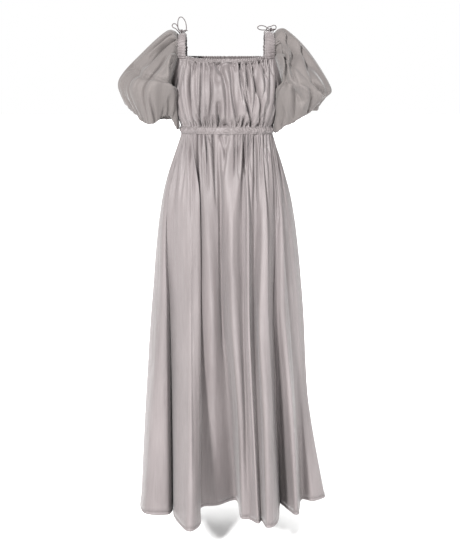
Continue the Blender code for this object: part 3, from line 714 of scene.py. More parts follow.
bodice = {
    "rows": 54,
    "columnsPerGather": 20,
    "thickness": 0.0008,
    "swell": (0.0012, 0.0032),  # how far the gathers stand out at the edges, and more between them
    "edgeStand": 0.0011,  # how far the cloth stands off the worn shape where it meets a casing
    "front": {"first": -90, "last": 90, "gathers": 18, "start": 0, "flat": (0.56, 0.185), "area": 0.090},
    "back": {"first": 90, "last": 270, "gathers": 14, "start": 18, "flat": (0.48, 0.185), "area": 0.079},
    "creaseSize": (1.3, 3.1),  # every width and every height is taken this many times
    "scale": (0.022, 0.175),  # metres in a gather and in the whole height
    # places in gathers from the right side seam and in shares of the height, widths, height
    "frontCreases": (
        (((7.0, 0.0), (6.8, 0.5), (5.95, 1.05)), 1.8, 2.6, -4.5),
        (((7.9, 0.15), (7.93, 0.5), (7.4, 0.95)), 1.8, 2.2, -4.5),
        (((8.5, -0.1), (8.9, 0.3), (9.0, 0.6), (9.0, 1.1)), 1.6, 2.4, -6.5),
        (((9.0, -0.1), (9.2, 0.2), (9.25, 0.43), (9.4, 0.65), (9.85, 1.0)), 1.8, 2.6, -6.5),
        (((9.8, -0.1), (9.9, 0.3), (10.25, 0.65)), 1.6, 2.4, -5.5),
        (((9.95, 0.2), (10.4, 0.57), (11.0, 0.8), (11.8, 1.1)), 1.8, 2.4, -6.5),
        (((10.3, 0.3), (10.95, 0.8)), 1.6, 2.0, -4.0),
        (((10.3, -0.1), (10.65, 0.37), (11.1, 0.75)), 1.8, 2.2, -4.5),
        (((11.0, -0.1), (11.3, 0.33), (12.1, 0.61), (12.9, 1.05)), 1.8, 2.6, -5.0),
        (((11.5, -0.1), (12.9, 0.28)), 1.6, 2.0, -4.5),
        (((12.8, -0.1), (14.0, 0.26)), 1.6, 2.0, -4.5),
        (((6.3, -0.1), (6.2, 0.2)), 1.6, 1.8, -4.5),
        (((7.9, -0.1), (8.7, 0.2)), 1.6, 2.0, -5.5),
        (((8.5, 0.6), (8.3, 1.05)), 2.6, 3.2, -4.5),
        (((5.7, 0.1), (5.3, 0.5), (4.95, 1.05)), 2.2, 2.6, -4.5),
        (((4.5, 0.1), (3.9, 0.5), (3.5, 1.0)), 2.4, 3.0, -5.5),
        (((12.8, 0.6), (13.8, 1.05)), 2.0, 2.6, -4.0),
        (((3.4, 0.15), (2.9, 0.5), (2.7, 1.0)), 2.6, 3.2, -4.5),
        (((14.8, 0.2), (14.9, 0.6), (14.6, 1.0)), 2.6, 3.0, -5.0),
        (((7.45, 0.2), (7.3, 0.6), (6.8, 0.95)), 5.0, 5.0, 3.0),
        (((8.5, 0.3), (8.5, 0.6)), 4.0, 4.0, 2.5),
        (((10.0, 0.4), (10.6, 0.85)), 3.0, 3.0, 2.5),
        (((11.7, 0.1), (12.2, 0.4), (12.9, 0.7)), 6.0, 6.0, 3.0),
    ),
    "backCreases": (
        (((2.4, -0.1), (2.6, 0.4), (2.3, 1.0)), 2.4, 3.0, -4.5),
        (((4.0, -0.1), (3.8, 0.5), (4.1, 1.1)), 2.0, 2.6, -5.5),
        (((5.3, -0.1), (5.5, 0.7)), 1.8, 2.4, -4.5),
        (((6.5, -0.1), (6.3, 0.4), (6.4, 1.1)), 2.0, 2.6, -5.5),
        (((7.5, 0.2), (7.8, 1.1)), 1.8, 2.4, -4.5),
        (((8.8, -0.1), (8.9, 0.5), (8.5, 1.1)), 2.0, 2.6, -5.5),
        (((10.0, -0.1), (9.8, 0.8)), 1.8, 2.4, -4.5),
        (((11.4, -0.1), (11.2, 0.5), (11.6, 1.0)), 2.4, 3.0, -4.5),
        (((5.9, 0.3), (5.7, 0.9)), 5.0, 5.0, 2.5),
        (((9.4, 0.2), (9.3, 0.8)), 5.0, 5.0, 2.5),
    ),
    # first and last place, number, reach, depth, seed
    "frontGathers": ((2.6, 15.4, 50, 0.24, 4.0, 5), (1.0, 17.0, 58, 0.20, 4.6, 8)),
    "backGathers": ((2.2, 11.8, 28, 0.26, 3.8, 11), (0.8, 13.2, 34, 0.22, 3.4, 14)),
}


def bodicePanel(which):
    look = bodice[which]
    first, last, gathers = look["first"], look["last"], look["gathers"]
    columns = gathers * bodice["columnsPerGather"]
    bottom = worn["waistTop"] + seamGap
    tops = [panelTop(first + (last - first) * column / columns) for column in range(columns + 1)]
    upper, lower = bodice[which + "Gathers"]
    creases = list(bodice[which + "Creases"]) + edgeGathers(*upper) + edgeGathers(*lower, edge=1.0, way=-1)
    places = [column / bodice["columnsPerGather"] for column in range(columns + 1)]
    downs = [row / bodice["rows"] for row in range(bodice["rows"] + 1)]
    field = creaseField(places, downs, bodice["scale"], creases, *bodice["creaseSize"])
    least, more = bodice["swell"]
    middle = []
    for row, down in enumerate(downs):
        swell = least + more * math.sin(math.pi * min(down * 1.1, 1)) ** 0.8
        line = []
        for column, place in enumerate(places):
            degrees = first + (last - first) * column / columns
            height = tops[column] + (bottom - tops[column]) * down
            fromSide = 90 - abs(90 - abs((degrees + 180) % 360 - 180))
            gathered = eased(52, 38, fromSide)
            gathered += (1 - gathered) * 0.5 * eased(0.05, 0.4, down)
            turn = (look["start"] + place) * math.tau
            lean = 1.3 * math.sin(0.17 * turn + 0.8) * down
            wave = math.cos(turn + lean) - 0.22 * math.cos(2 * (turn + lean))
            wave += 0.35 * math.sin(0.5 * turn + lean)
            fold = swell * gathered * wave
            fold += field[row, column] * max(gathered, 0.5 * eased(0.5, 0.9, down))
            rim = max(eased(0.04, 0, down), eased(0.975, 1, down))
            fold = fold * (1 - 0.8 * rim) + bodice["edgeStand"] * rim
            out = bodiceNormal(degrees, height)
            point = bodicePoint(degrees, height) + out * fold
            if column in (0, columns):
                along = Vector((-out.y, out.x, 0))
                point += along * seamGap / 2 * (1 if column == 0 else -1)
            line.append(point)
        middle.append(line)
    outer, inner = thinWalls(middle, False, bodice["thickness"])
    name = "bodice" + which.capitalize()
    piece = clothPiece(name, outer, inner, False, look["flat"], satinCloth)
    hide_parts("bodice_" + which)
    return piece


bodicePanel("front")
bodicePanel("back")
print("dress: bodice made")

# neck and waist casings
casing = {
    "thickness": 0.0024,
    "trim": 0.0004,  # taken off each side of the wall, under the ruches
    "neckHeight": 0.0086,
    "neckTrim": 0.45,  # degrees left free beside each strap
    "scallop": 0.0016,
    "neckRuches": 34,
    "neckPuff": 0.0046,
    "neckFlat": (0.27, 0.0115),
    "waistRuches": 88,
    "waistPuff": 0.0058,
    "waistLift": (0.0009, 0.0012),  # the band's waves in and out, and its rounded middle
    "waistFlat": (0.98, 0.020),
    "columnsPerRuche": 8,
    # where the stitch rows lie, as shares of the height
    "neckSeam": 0.78,
    "waistSeams": {"Upper": 0.12, "Lower": 0.88},
    # share of the height, and how far the ruches stand out there, with a groove for each stitch row
    "waistProfile": (
        (0, 0.2), (0.06, 0.45), (0.12, 0.1), (0.18, 0.35), (0.30, 0.85), (0.42, 1.0), (0.58, 1.0),
        (0.70, 0.85), (0.82, 0.35), (0.88, 0.1), (0.94, 0.45), (1, 0.2),
    ),
    "neckProfile": ((0, 0.8), (0.2, 1.0), (0.45, 1.0), (0.65, 0.7), (0.78, 0.15), (0.9, 0.4), (1, 0.1)),
}


def neckCasing(which, first, last):
    columns = casing["neckRuches"] * casing["columnsPerRuche"]
    half = casing["thickness"] / 2 - casing["trim"]
    outer, inner, stitches = [], [], []
    for share, stand in casing["neckProfile"]:
        outerLine, innerLine = [], []
        for column in range(columns + 1):
            degrees = first + (last - first) * column / columns
            height = panelTop(degrees) + seamGap + casing["neckHeight"] * (1 - share)
            out = bodiceNormal(degrees, height)
            place = column / casing["columnsPerRuche"] + 0.12 * math.sin(4 * share + 0.15 * column)
            pillow = ruche(place, 0.3) * eased(0, 6, column) * eased(columns, columns - 6, column)
            middle = bodicePoint(degrees, height)
            if share == 0:
                middle.z -= casing["scallop"] * (1 - pillow)
            raised = casing["neckPuff"] * stand * pillow
            outerLine.append(middle + out * (half + raised))
            innerLine.append(middle - out * (half + 0.5 * raised))
            if share == casing["neckSeam"]:
                stitches.append((outerLine[-1] + out * stitch["stand"], out))
        outer.append(outerLine)
        inner.append(innerLine)
    name = "neckCasing" + which.capitalize()
    piece = clothPiece(name, outer, inner, False, casing["neckFlat"], ruchedCasing)
    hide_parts("neck_casing_" + which)
    sewRow("neckStitches" + which.capitalize(), stitches)
    return piece


rightEdge, leftEdge = strapEnds("right")[0], strapEnds("left")[0]
neckCasing("front", rightEdge + casing["neckTrim"], leftEdge - casing["neckTrim"])
neckCasing("back", 180 - leftEdge + casing["neckTrim"], 180 - rightEdge - casing["neckTrim"])


def waistCasing():
    columns = casing["waistRuches"] * casing["columnsPerRuche"]
    half = casing["thickness"] / 2 - casing["trim"]
    top, bottom = worn["waistTop"], worn["waistBottom"]
    waves, rounding = casing["waistLift"]
    outer, inner = [], []
    stitches = {share: [] for share in casing["waistSeams"].values()}
    for share, stand in casing["waistProfile"]:
        height = top + (bottom - top) * share
        outerLine, innerLine = [], []
        for column in range(columns):
            degrees = 360 * column / columns
            out = bodiceNormal(degrees, height)
            # whole waves round the waist, so that the last ruche meets the first
            turned = math.tau * column / columns
            skew = 0.5 * math.sin(5 * turned + 3 * share) + 0.15 * math.sin(17 * turned + 5 * share)
            pillow = abs(math.sin(math.pi * (column / casing["columnsPerRuche"] + skew))) ** 1.1
            pillow *= 0.7 + 0.3 * math.sin(31 * turned + 4 * share)
            lift = waves * math.cos(24 * turned) + rounding * math.sin(math.pi * share)
            middle = bodicePoint(degrees, height) + out * lift
            raised = casing["waistPuff"] * stand * pillow
            outerLine.append(middle + out * (half + raised))
            innerLine.append(middle - out * (half + 0.4 * raised))
            if share in stitches:
                stitches[share].append((outerLine[-1] + out * stitch["stand"], out))
        outer.append(outerLine)
        inner.append(innerLine)
    piece = clothPiece("waistCasing", outer, inner, True, casing["waistFlat"], ruchedCasing)
    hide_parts("waist_casing")
    for seam, share in casing["waistSeams"].items():
        sewRow("waistStitches" + seam, stitches[share] + stitches[share][:1])
    return piece


waistCasing()
print("dress: casings made")

# skirt
skirt = {
    "top": worn["waistBottom"] - seamGap,
    "hem": -1.360,
    "heights": (worn["waistBottom"], -0.461, -0.751, -1.050, -1.360),
    # the gathers stand out by the first, and by the second more from gathersFull to gathersFade,
    # but never by more than gatherSlack of their own width
    "gathersStand": (0.0012, 0.0042),
    "gathersFull": -0.33,
    "gathersFade": -0.36,
    "gathersEnd": -0.520,
    "gatherSlack": 0.24,
    "edgeStand": 0.0008,  # at the waist casing
    "ripple": 0.0007,  # small unevenness all over
    "rows": 92,
    "rowCrowding": 1.35,  # more than 1 puts the rows closer at the waist
    "rowsEnd": 0.005,  # shares of the length that the rows stop short of the hem,
    "hemRoom": 0.004,  # and that they keep off the fold of the hem
    "columnsPerFold": 24,
    "thickness": 0.0008,
    "hemFold": 0.010,
    "hemRows": (1, 0.85, 0.45, 0),  # as shares of the hem's fold, stitched along the second
    "hemStep": 0.0020,
    # the folds that each panel begins and ends with
    "front": {"first": 0, "last": 21, "flat": (1.40, 1.11), "area": 1.22},
    "back": {"first": 21, "last": 35, "flat": (1.18, 1.11), "area": 0.98},
    # degrees from the middle of the waist, then x and y in mm at hip, knee, calf and hem
    "folds": (
        (-95, (-184, 4), (-216, 0), (-238, -4), (-256, 2)),
        (-88, (-179, -48), (-193, -76), (-214, -92), (-238, -100)),
        (-83, (-169, -72), (-171, -92), (-171, -104), (-171, -110)),
        (-77, (-159, -77), (-157, -58), (-157, -50), (-158, -54)),
        (-69.5, (-146, -96), (-144, -106), (-143, -118), (-147, -138)),
        (-60, (-112, -134), (-104, -166), (-103, -200), (-108, -230)),
        (-47, (-88, -140), (-84, -160), (-82, -176), (-79, -186)),
        (-37, (-74, -131), (-77, -136), (-78, -112), (-78, -62)),
        (-24, (-56, -156), (-41, -163), (-38, -112), (-28, -40)),
        (-10, (-19, -141), (-12, -128), (8, -84), (28, -2)),
        (7.5, (14, -165), (14, -182), (33, -162), (41, -130)),
        (17.7, (43, -143), (44, -158), (54, -156), (66, -148)),
        (24, (58, -157), (58, -178), (72, -186), (88, -176)),
        (29.5, (75, -133), (74, -148), (85, -158), (99, -154)),
        (42, (100, -140), (92, -182), (110, -198), (115, -204)),
        (55, (119, -122), (111, -162), (128, -168), (142, -168)),
        (65, (131, -98), (126, -114), (136, -84), (155, -26)),
        (70, (138, -90), (134, -108), (149, -82), (165, -40)),
        (77, (150, -95), (159, -119), (181, -120), (201, -110)),
        (84, (160, -64), (186, -66), (203, -42), (220, 2)),
        (90, (173, -44), (203, -44), (222, -26), (257, -6)),
        (97, (183, 4), (218, 0), (238, 4), (293, 34)),
        (108, (171, 42), (196, 46), (214, 58), (238, 74)),
        (120, (164, 74), (197, 94), (218, 116), (240, 142)),
        (131, (137, 92), (154, 106), (168, 124), (182, 146)),
        (144, (110, 122), (126, 158), (140, 190), (152, 220)),
        (155, (76, 124), (84, 132), (88, 140), (92, 148)),
        (168, (36, 149), (40, 182), (44, 214), (50, 244)),
        (180, (-2, 136), (2, 158), (6, 184), (10, 208)),
        (192, (-38, 148), (-42, 184), (-46, 220), (-52, 254)),
        (205, (-72, 122), (-80, 128), (-84, 136), (-88, 142)),
        (217, (-104, 124), (-122, 152), (-134, 178), (-146, 202)),
        (229, (-133, 92), (-151, 108), (-166, 128), (-180, 150)),
        (241, (-161, 76), (-189, 92), (-210, 112), (-230, 132)),
        (253, (-172, 40), (-197, 42), (-213, 48), (-226, 54)),
    ),
    "creaseSize": (1.35, 2.0),
    "scale": (0.030, 1.0),  # metres in a fold, and in a metre of height
    # places in folds from the right side seam round the front and in metres below the waist,
    # width on the left and on the right, height
    "creases": (
        (
            ((4.0, -0.03), (3.5, 0.08), (3.15, 0.16), (3.0, 0.30), (3.0, 0.56), (2.9, 0.80), (2.9, 1.12)),
            3.0, 2.0, -7.0,
        ),
        (
            ((4.3, -0.03), (3.8, 0.08), (3.45, 0.16), (3.3, 0.30), (3.25, 0.56), (3.25, 0.80), (3.2, 1.12)),
            2.0, 9.0, 4.5,
        ),
        (((6.9, -0.03), (6.6, 0.10), (6.42, 0.20), (6.4, 0.50), (6.35, 0.80), (6.3, 1.12)), 9.0, 2.4, 5.0),
        (((7.2, -0.03), (6.9, 0.10), (6.75, 0.20), (6.75, 0.50), (6.7, 0.80), (6.7, 1.12)), 2.4, 4.0, -5.0),
        (((7.7, -0.03), (7.6, 0.06), (7.55, 0.17)), 1.8, 2.2, -4.5),
        (((8.25, -0.03), (8.25, 0.06), (8.25, 0.16)), 1.8, 2.2, -4.5),
        (((8.9, -0.03), (8.8, 0.07), (8.7, 0.18)), 1.8, 2.4, -5.5),
        (((9.3, -0.03), (9.1, 0.08), (9.05, 0.16), (8.9, 0.35), (8.8, 0.62)), 2.0, 3.5, -4.0),
        (((9.0, -0.03), (8.85, 0.08), (8.8, 0.16), (8.65, 0.35), (8.55, 0.62)), 9.0, 2.4, 1.8),
        (((9.6, -0.03), (9.45, 0.05), (9.35, 0.11)), 1.8, 2.0, -4.5),
        (((10.0, -0.03), (10.2, 0.04), (10.45, 0.12)), 1.8, 2.0, -4.5),
        (
            ((10.5, -0.03), (11.0, 0.07), (11.4, 0.15), (11.45, 0.34), (11.5, 0.55), (11.5, 1.0)),
            2.2, 2.6, -6.5,
        ),
        (
            ((11.4, -0.03), (11.8, 0.07), (12.3, 0.15), (12.5, 0.27), (12.6, 0.52), (12.6, 1.0)),
            2.2, 3.0, -7.5,
        ),
        (((11.0, -0.03), (11.5, 0.08), (11.9, 0.16), (12.0, 0.35), (12.0, 0.6), (12.0, 1.0)), 3.0, 3.0, 3.5),
        (((13.4, -0.03), (13.35, 0.08), (13.3, 0.20)), 2.0, 2.4, -5.0),
        (((14.1, -0.03), (14.1, 0.15), (14.45, 0.34), (14.7, 0.52), (14.8, 0.85)), 10.0, 2.4, 5.0),
        (((14.4, -0.03), (14.4, 0.15), (14.8, 0.34), (15.1, 0.52), (15.2, 0.95)), 2.4, 4.0, -6.5),
        (((16.4, -0.03), (15.9, 0.10), (15.9, 0.20), (16.5, 0.30), (16.6, 0.70)), 2.4, 3.4, -5.5),
        (((4.9, -0.03), (4.7, 0.08), (4.5, 0.20)), 3.0, 3.0, -4.0),
        (((6.0, -0.03), (5.6, 0.08), (5.3, 0.24)), 3.0, 3.4, -4.0),
        (((19.4, -0.03), (18.6, 0.15), (18.4, 0.25), (18.7, 0.50), (18.8, 0.90)), 4.0, 5.0, -3.5),
        (((17.6, -0.03), (17.3, 0.10), (17.4, 0.24)), 2.4, 3.0, -4.5),
        (((5.6, 0.30), (5.4, 0.60), (5.5, 0.95)), 7.0, 7.0, -2.5),
        (((13.9, 0.45), (13.9, 0.80), (14.0, 1.12)), 8.0, 8.0, 3.0),
        (((10.4, 0.35), (10.3, 0.70), (10.2, 1.12)), 8.0, 8.0, 3.0),
        (((18.0, 0.5), (18.1, 1.12)), 6.0, 3.0, 3.0),
        (((23.5, -0.03), (23.3, 0.20), (23.6, 0.60), (23.6, 1.12)), 3.0, 3.0, -5.5),
        (((25.9, -0.03), (26.1, 0.20), (26.0, 0.60), (26.0, 1.12)), 2.6, 3.4, -6.0),
        (((28.1, -0.03), (27.9, 0.20), (28.0, 0.60), (28.0, 1.12)), 2.6, 3.0, -6.0),
        (((30.0, -0.03), (30.2, 0.20), (30.0, 0.60), (30.0, 1.12)), 2.6, 3.4, -6.0),
        (((32.0, -0.03), (32.1, 0.20), (32.0, 0.60), (32.0, 1.12)), 2.6, 3.0, -5.0),
        (((27.0, 0.1), (26.9, 0.5), (27.1, 0.9)), 7.0, 7.0, 3.0),
        (((29.0, 0.15), (29.1, 0.6), (29.0, 1.0)), 7.0, 7.0, 3.0),
    ),
    # first and last place, number, reach, depth, seed
    "gathers": ((0.4, 20.6, 56, 0.13, 5.4, 3), (21.4, 34.6, 42, 0.15, 5.0, 9)),
}


def skirtLines(height):
    found = []
    for degrees, *places in skirt["folds"]:
        top = bodicePoint(degrees, worn["waistBottom"])
        values = [Vector((top.x, top.y))] + [Vector(place) * mm for place in places]
        found.append(smooth(skirt["heights"], values, height))
    return found


def skirtPoint(folds, raised, place, height):
    # a point of the cloth's middle, with the way out there
    spot = around(folds, place)
    along = around(folds, place + 0.05) - around(folds, place - 0.05)
    out = Vector((along.y, -along.x, 0)).normalized()
    room = (around(folds, place + 0.5) - around(folds, place - 0.5)).length
    below = skirt["top"] - height
    least, more = skirt["gathersStand"]
    puffed = least + more * eased(worn["waistBottom"], skirt["gathersFull"], height)
    puffed *= eased(skirt["gathersEnd"], skirt["gathersFade"], height)
    stand = min(puffed, room * skirt["gatherSlack"]) * math.cos(math.tau * (place + 0.5))
    stand *= 1 - 0.8 * abs(out.x) ** 4
    stand += raised * min(1, room / 0.016)
    rim = eased(0.006, 0, below)
    stand = stand * (1 - 0.6 * rim) + skirt["edgeStand"] * rim
    stand += skirt["ripple"] * noise.noise((place * 5.0, height * 7.0, 3.0)) * eased(0, 0.1, below)
    return Vector((spot.x, spot.y, height)) + out * stand, out


def skirtPanel(which):
    look = skirt[which]
    perFold = skirt["columnsPerFold"]
    first, last = look["first"], look["last"]
    columns = (last - first) * perFold
    length = skirt["top"] - skirt["hem"]
    hemShares = [1 - row * skirt["hemFold"] / length for row in skirt["hemRows"]]
    reach = 1 - skirt["rowsEnd"]
    shares = [(row / skirt["rows"]) ** skirt["rowCrowding"] * reach for row in range(skirt["rows"])]
    shares = [share for share in shares if share < hemShares[0] - skirt["hemRoom"]] + hemShares
    creases = list(skirt["creases"]) + [crease for row in skirt["gathers"] for crease in edgeGathers(*row)]
    creases = [crease for crease in creases if first - 1 < crease[0][0][0] < last + 1]
    places = [first + column / perFold for column in range(columns + 1)]
    downs = [length * share for share in shares]
    field = creaseField(places, downs, skirt["scale"], creases, *skirt["creaseSize"])
    middle, stitches = [], []
    for row, share in enumerate(shares):
        height = skirt["top"] - length * share
        folds = skirtLines(height)
        line = []
        for column, place in enumerate(places):
            point, out = skirtPoint(folds, field[row, column], place, height)
            if share >= hemShares[0]:
                point += out * skirt["hemStep"] * (-1 if share == hemShares[1] else 1)
            if column in (0, columns):
                along = Vector((-out.y, out.x, 0))
                point += along * seamGap / 2 * (1 if column == 0 else -1)
            line.append(point)
            if share == hemShares[1]:
                stitches.append((point + out * (skirt["thickness"] / 2 + stitch["stand"]), out))
        middle.append(line)
    outer, inner = thinWalls(middle, False, skirt["thickness"])
    name = "skirt" + which.capitalize()
    piece = clothPiece(name, outer, inner, False, look["flat"], satinCloth, shares)
    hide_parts("skirt_" + which)
    sewRow("hemStitches" + which.capitalize(), stitches)
    return piece


skirtPanel("front")
skirtPanel("back")
print("dress: skirt made")

# sleeves
sleeve = {
    "armMiddle": 0.202,
    "cuffRadius": 0.043,
    "cuffTop": -0.190,
    "cuffBottom": -0.205,
    "clear": 0.0055,
    "armholeClear": 0.0012,
    "strapSteps": 40,  # points of the armhole's line on half a strap, and on the bodice
    "panelSteps": 96,
    "cloth": 0.0016,  # wall of the solid, which sets where the sleeve ends
    "headOut": 0.013,
    "headUp": 0.0055,
    "headUpSwing": 0.0125,
    "gathers": 11,
    "columnsPerGather": 30,
    "rows": 112,
    "thickness": 0.0007,
    "gathersStand": 0.0042,
    "lowGathersStand": 0.0020,
    # how far head, crown and bulge are pushed where the front billows over the armhole seam,
    # and the degrees where each push begins and is full, and where it ends and is still full
    "billow": (
        ((-0.006, -0.026, 0.003), (55, 90), (140, 108)),
        ((-0.012, -0.026, 0.006), (50, 85), (125, 98)),
        ((0, -0.014, 0), (45, 85), (142, 110)),
    ),
    "flat": (0.66, 0.27),
    "area": 0.148,
    "right": {
        "crown": 0.009,
        # degrees from outward to the front, reach and height of the puff, and of its lowest line
        "puff": (
            (0, 94, -128, 82, -190), (30, 100, -136, 72, -208), (60, 110, -146, 66, -232),
            (90, 112, -146, 74, -236), (120, 112, -148, 86, -214), (150, 92, -172, 80, -254),
            (180, 48, -192, 60, -224), (210, 62, -185, 66, -228), (240, 88, -165, 78, -232),
            (270, 100, -150, 76, -228), (300, 106, -142, 76, -216), (330, 102, -132, 78, -195),
        ),
        # degrees and places, width on the left and on the right, height
        "creases": (
            (((34, 0.7), (32, 1.25), (33, 1.6), (20, 2.1)), 3.0, 4.0, -6.0),
            (((40, 0.8), (42, 1.3), (40, 1.7), (38, 2.0)), 4.0, 4.0, 3.5),
            (((48, 0.7), (46, 1.25), (50, 1.7), (60, 2.1)), 3.5, 3.5, -6.0),
            (((38, 0.2), (47, 0.8), (52, 1.37), (62, 1.8)), 3.0, 4.0, -3.0),
            (((70, 1.4), (76, 2.4), (80, 3.2), (78, 4.2)), 3.0, 6.0, -4.0),
            (((60, 1.6), (65, 2.6), (68, 3.6)), 6.0, 4.0, 2.5),
            (((68, 0.2), (78, 1.2), (106, 2.3), (122, 3.2), (128, 4.0)), 10.0, 3.0, 6.0),
            (((84, 0.2), (94, 1.0), (116, 2.0), (134, 3.0), (140, 4.0)), 3.0, 5.0, -1.5),
            (((88, 3.2), (92, 3.6), (96, 4.3)), 4.0, 4.0, -5.0),
            (((116, 3.3), (119, 3.7), (120, 4.4)), 3.5, 4.5, -6.0),
            (((44, 2.3), (50, 2.9), (56, 3.5), (62, 4.1)), 4.0, 6.0, -4.0),
            (((24, 2.0), (30, 2.8), (34, 3.8)), 5.0, 5.0, -2.5),
            (((16, 3.2), (40, 3.7)), 5.0, 5.0, -4.0),
            (((344, 2.6), (0, 2.5), (14, 2.6)), 4.0, 4.0, -4.0),
            (((96, 0.4), (86, 1.6), (92, 2.6)), 6.0, 6.0, -2.5),
        ),
    },
    "left": {
        "crown": 0.020,
        "puff": (
            (0, 82, -148, 68, -172), (30, 92, -148, 58, -186), (60, 108, -148, 64, -206),
            (90, 112, -146, 72, -222), (120, 112, -152, 86, -242), (150, 92, -172, 84, -262),
            (180, 48, -192, 60, -226), (210, 62, -185, 66, -232), (240, 88, -165, 78, -226),
            (270, 100, -150, 74, -220), (300, 104, -142, 72, -208), (330, 96, -144, 76, -192),
        ),
        "creases": (
            (((14, 0.5), (26, 1.25), (44, 1.5), (62, 1.8), (87, 2.3), (98, 3.1)), 3.0, 6.0, -7.5),
            (((8, 0.8), (16, 1.4), (30, 1.6), (52, 1.9), (76, 2.5)), 5.0, 5.0, 3.0),
            (((14, 1.0), (27, 1.67), (42, 2.0), (60, 2.3), (70, 2.8)), 8.0, 4.0, -6.0),
            (((58, 0.6), (74, 1.29), (80, 1.67), (97, 2.05), (112, 2.8)), 7.0, 2.6, -5.5),
            (((50, 0.6), (66, 1.2), (72, 1.6), (90, 2.1), (104, 2.7)), 3.0, 5.0, 4.0),
            (((44, 0.1), (56, 0.6), (70, 1.1), (86, 1.6), (108, 2.2), (124, 2.8), (132, 3.5)), 3.0, 7.0, 6.0),
            (((62, 0.1), (78, 0.6), (96, 1.0), (114, 1.8), (134, 2.9)), 4.0, 3.0, -2.0),
            (((104, 2.9), (96, 3.2), (86, 3.5)), 4.0, 6.0, -8.0),
            (((98, 2.8), (88, 3.0), (76, 3.3)), 4.0, 3.0, 4.0),
            (((100, 2.6), (102, 3.0), (103, 3.4), (106, 4.0)), 2.6, 4.5, -6.0),
            (((72, 2.7), (62, 3.0), (48, 3.25)), 4.0, 4.0, -7.0),
            (((80, 3.0), (75, 3.4), (70, 4.0)), 4.0, 5.0, -7.0),
            (((66, 3.1), (62, 3.4), (54, 3.7)), 4.0, 4.0, 4.0),
            (((108, 2.5), (118, 3.0), (134, 3.6)), 4.0, 4.0, 5.0),
            (((118, 3.5), (136, 4.0)), 6.0, 6.0, -6.0),
            (((88, 3.2), (90, 3.6), (88, 4.2)), 5.0, 5.0, 3.0),
        ),
    },
    "backCreases": (
        (((298, 0.2), (306, 1.8), (318, 4.4)), 5.0, 8.0, -5.0),
        (((262, 0.2), (266, 2.0), (272, 4.6)), 4.0, 7.0, -5.0),
        (((228, 0.3), (224, 2.2), (220, 4.6)), 5.0, 5.0, -4.0),
        (((336, 0.4), (342, 2.0), (350, 4.2)), 5.0, 8.0, -4.0),
        (((282, 0.4), (288, 2.2), (292, 4.4)), 9.0, 5.0, 4.0),
        (((246, 0.5), (244, 2.6), (240, 4.8)), 5.0, 9.0, 4.0),
    ),
    "creaseSize": (1.2, 2.6),
    "scale": (0.0018, 0.045),  # metres in a degree and in a place
    # first and last place, number, reach, depth, seed
    "headGathers": (2, 358, 58, 1.0, 3.0, 21),
    "edgeRuffles": (6, 354, 30, 1.2, 4.0, 27),
    "edgePlace": 4.6,
}


def armhole(sideName):
    # points from the top of the shoulder over the front, and the way out from each
    side = strap[sideName][0]
    frontEnd = strapEnds(sideName)[1]
    clear, strapSteps, panelSteps = sleeve["armholeClear"], sleeve["strapSteps"], sleeve["panelSteps"]

    def onStrap(along):
        inner, outer = strapEdges(sideName, along)
        out = (outer - inner).normalized()
        return outer + out * clear, out

    path = [onStrap(0.5 - 0.5 * step / strapSteps) for step in range(strapSteps)]
    for step in range(panelSteps + 1):
        degrees = frontEnd + 2 * (side * 90 - frontEnd) * step / panelSteps
        height = panelTop(degrees - side * 0.001)
        out = bodiceNormal(degrees, height)
        path.append((bodicePoint(degrees, height) + out * (sleeve["cloth"] / 2 + clear), out))
    path += [onStrap(1 - 0.5 * step / strapSteps) for step in range(1, strapSteps)]
    return path


def spaced(path, count):
    # the path at even spaces, half of them in front of the underarm and half behind
    found = []
    bottom = len(path) // 2
    for half in (path[: bottom + 1], path[bottom:] + path[:1]):
        length = [0.0]
        for one, two in zip(half, half[1:]):
            length.append(length[-1] + (two[0] - one[0]).length)
        low = 0
        for step in range(count // 2):
            target = length[-1] * step / (count // 2)
            while low < len(half) - 2 and length[low + 1] <= target:
                low += 1
            share = (target - length[low]) / (length[low + 1] - length[low])
            one, two = half[low], half[low + 1]
            found.append((one[0].lerp(two[0], share), one[1].lerp(two[1], share).normalized()))
    return found


def besideBodice(point):
    # the point itself, or the nearest place level with it that clears the bodice
    if point.z > worn["neckSide"] or point.z < worn["waistBottom"]:
        return point
    width, front, back = bodiceSection(point.z)
    depth = front if point.y < 0 else back
    power = worn["squareness"]
    share = (abs(point.x) / width) ** power + (abs(point.y) / depth) ** power
    level = Vector((point.x, point.y, 0))
    reach = max((1 + sleeve["clear"] / level.length) / share ** (1 / power), 1)
    return level * reach + Vector((0, 0, point.z))


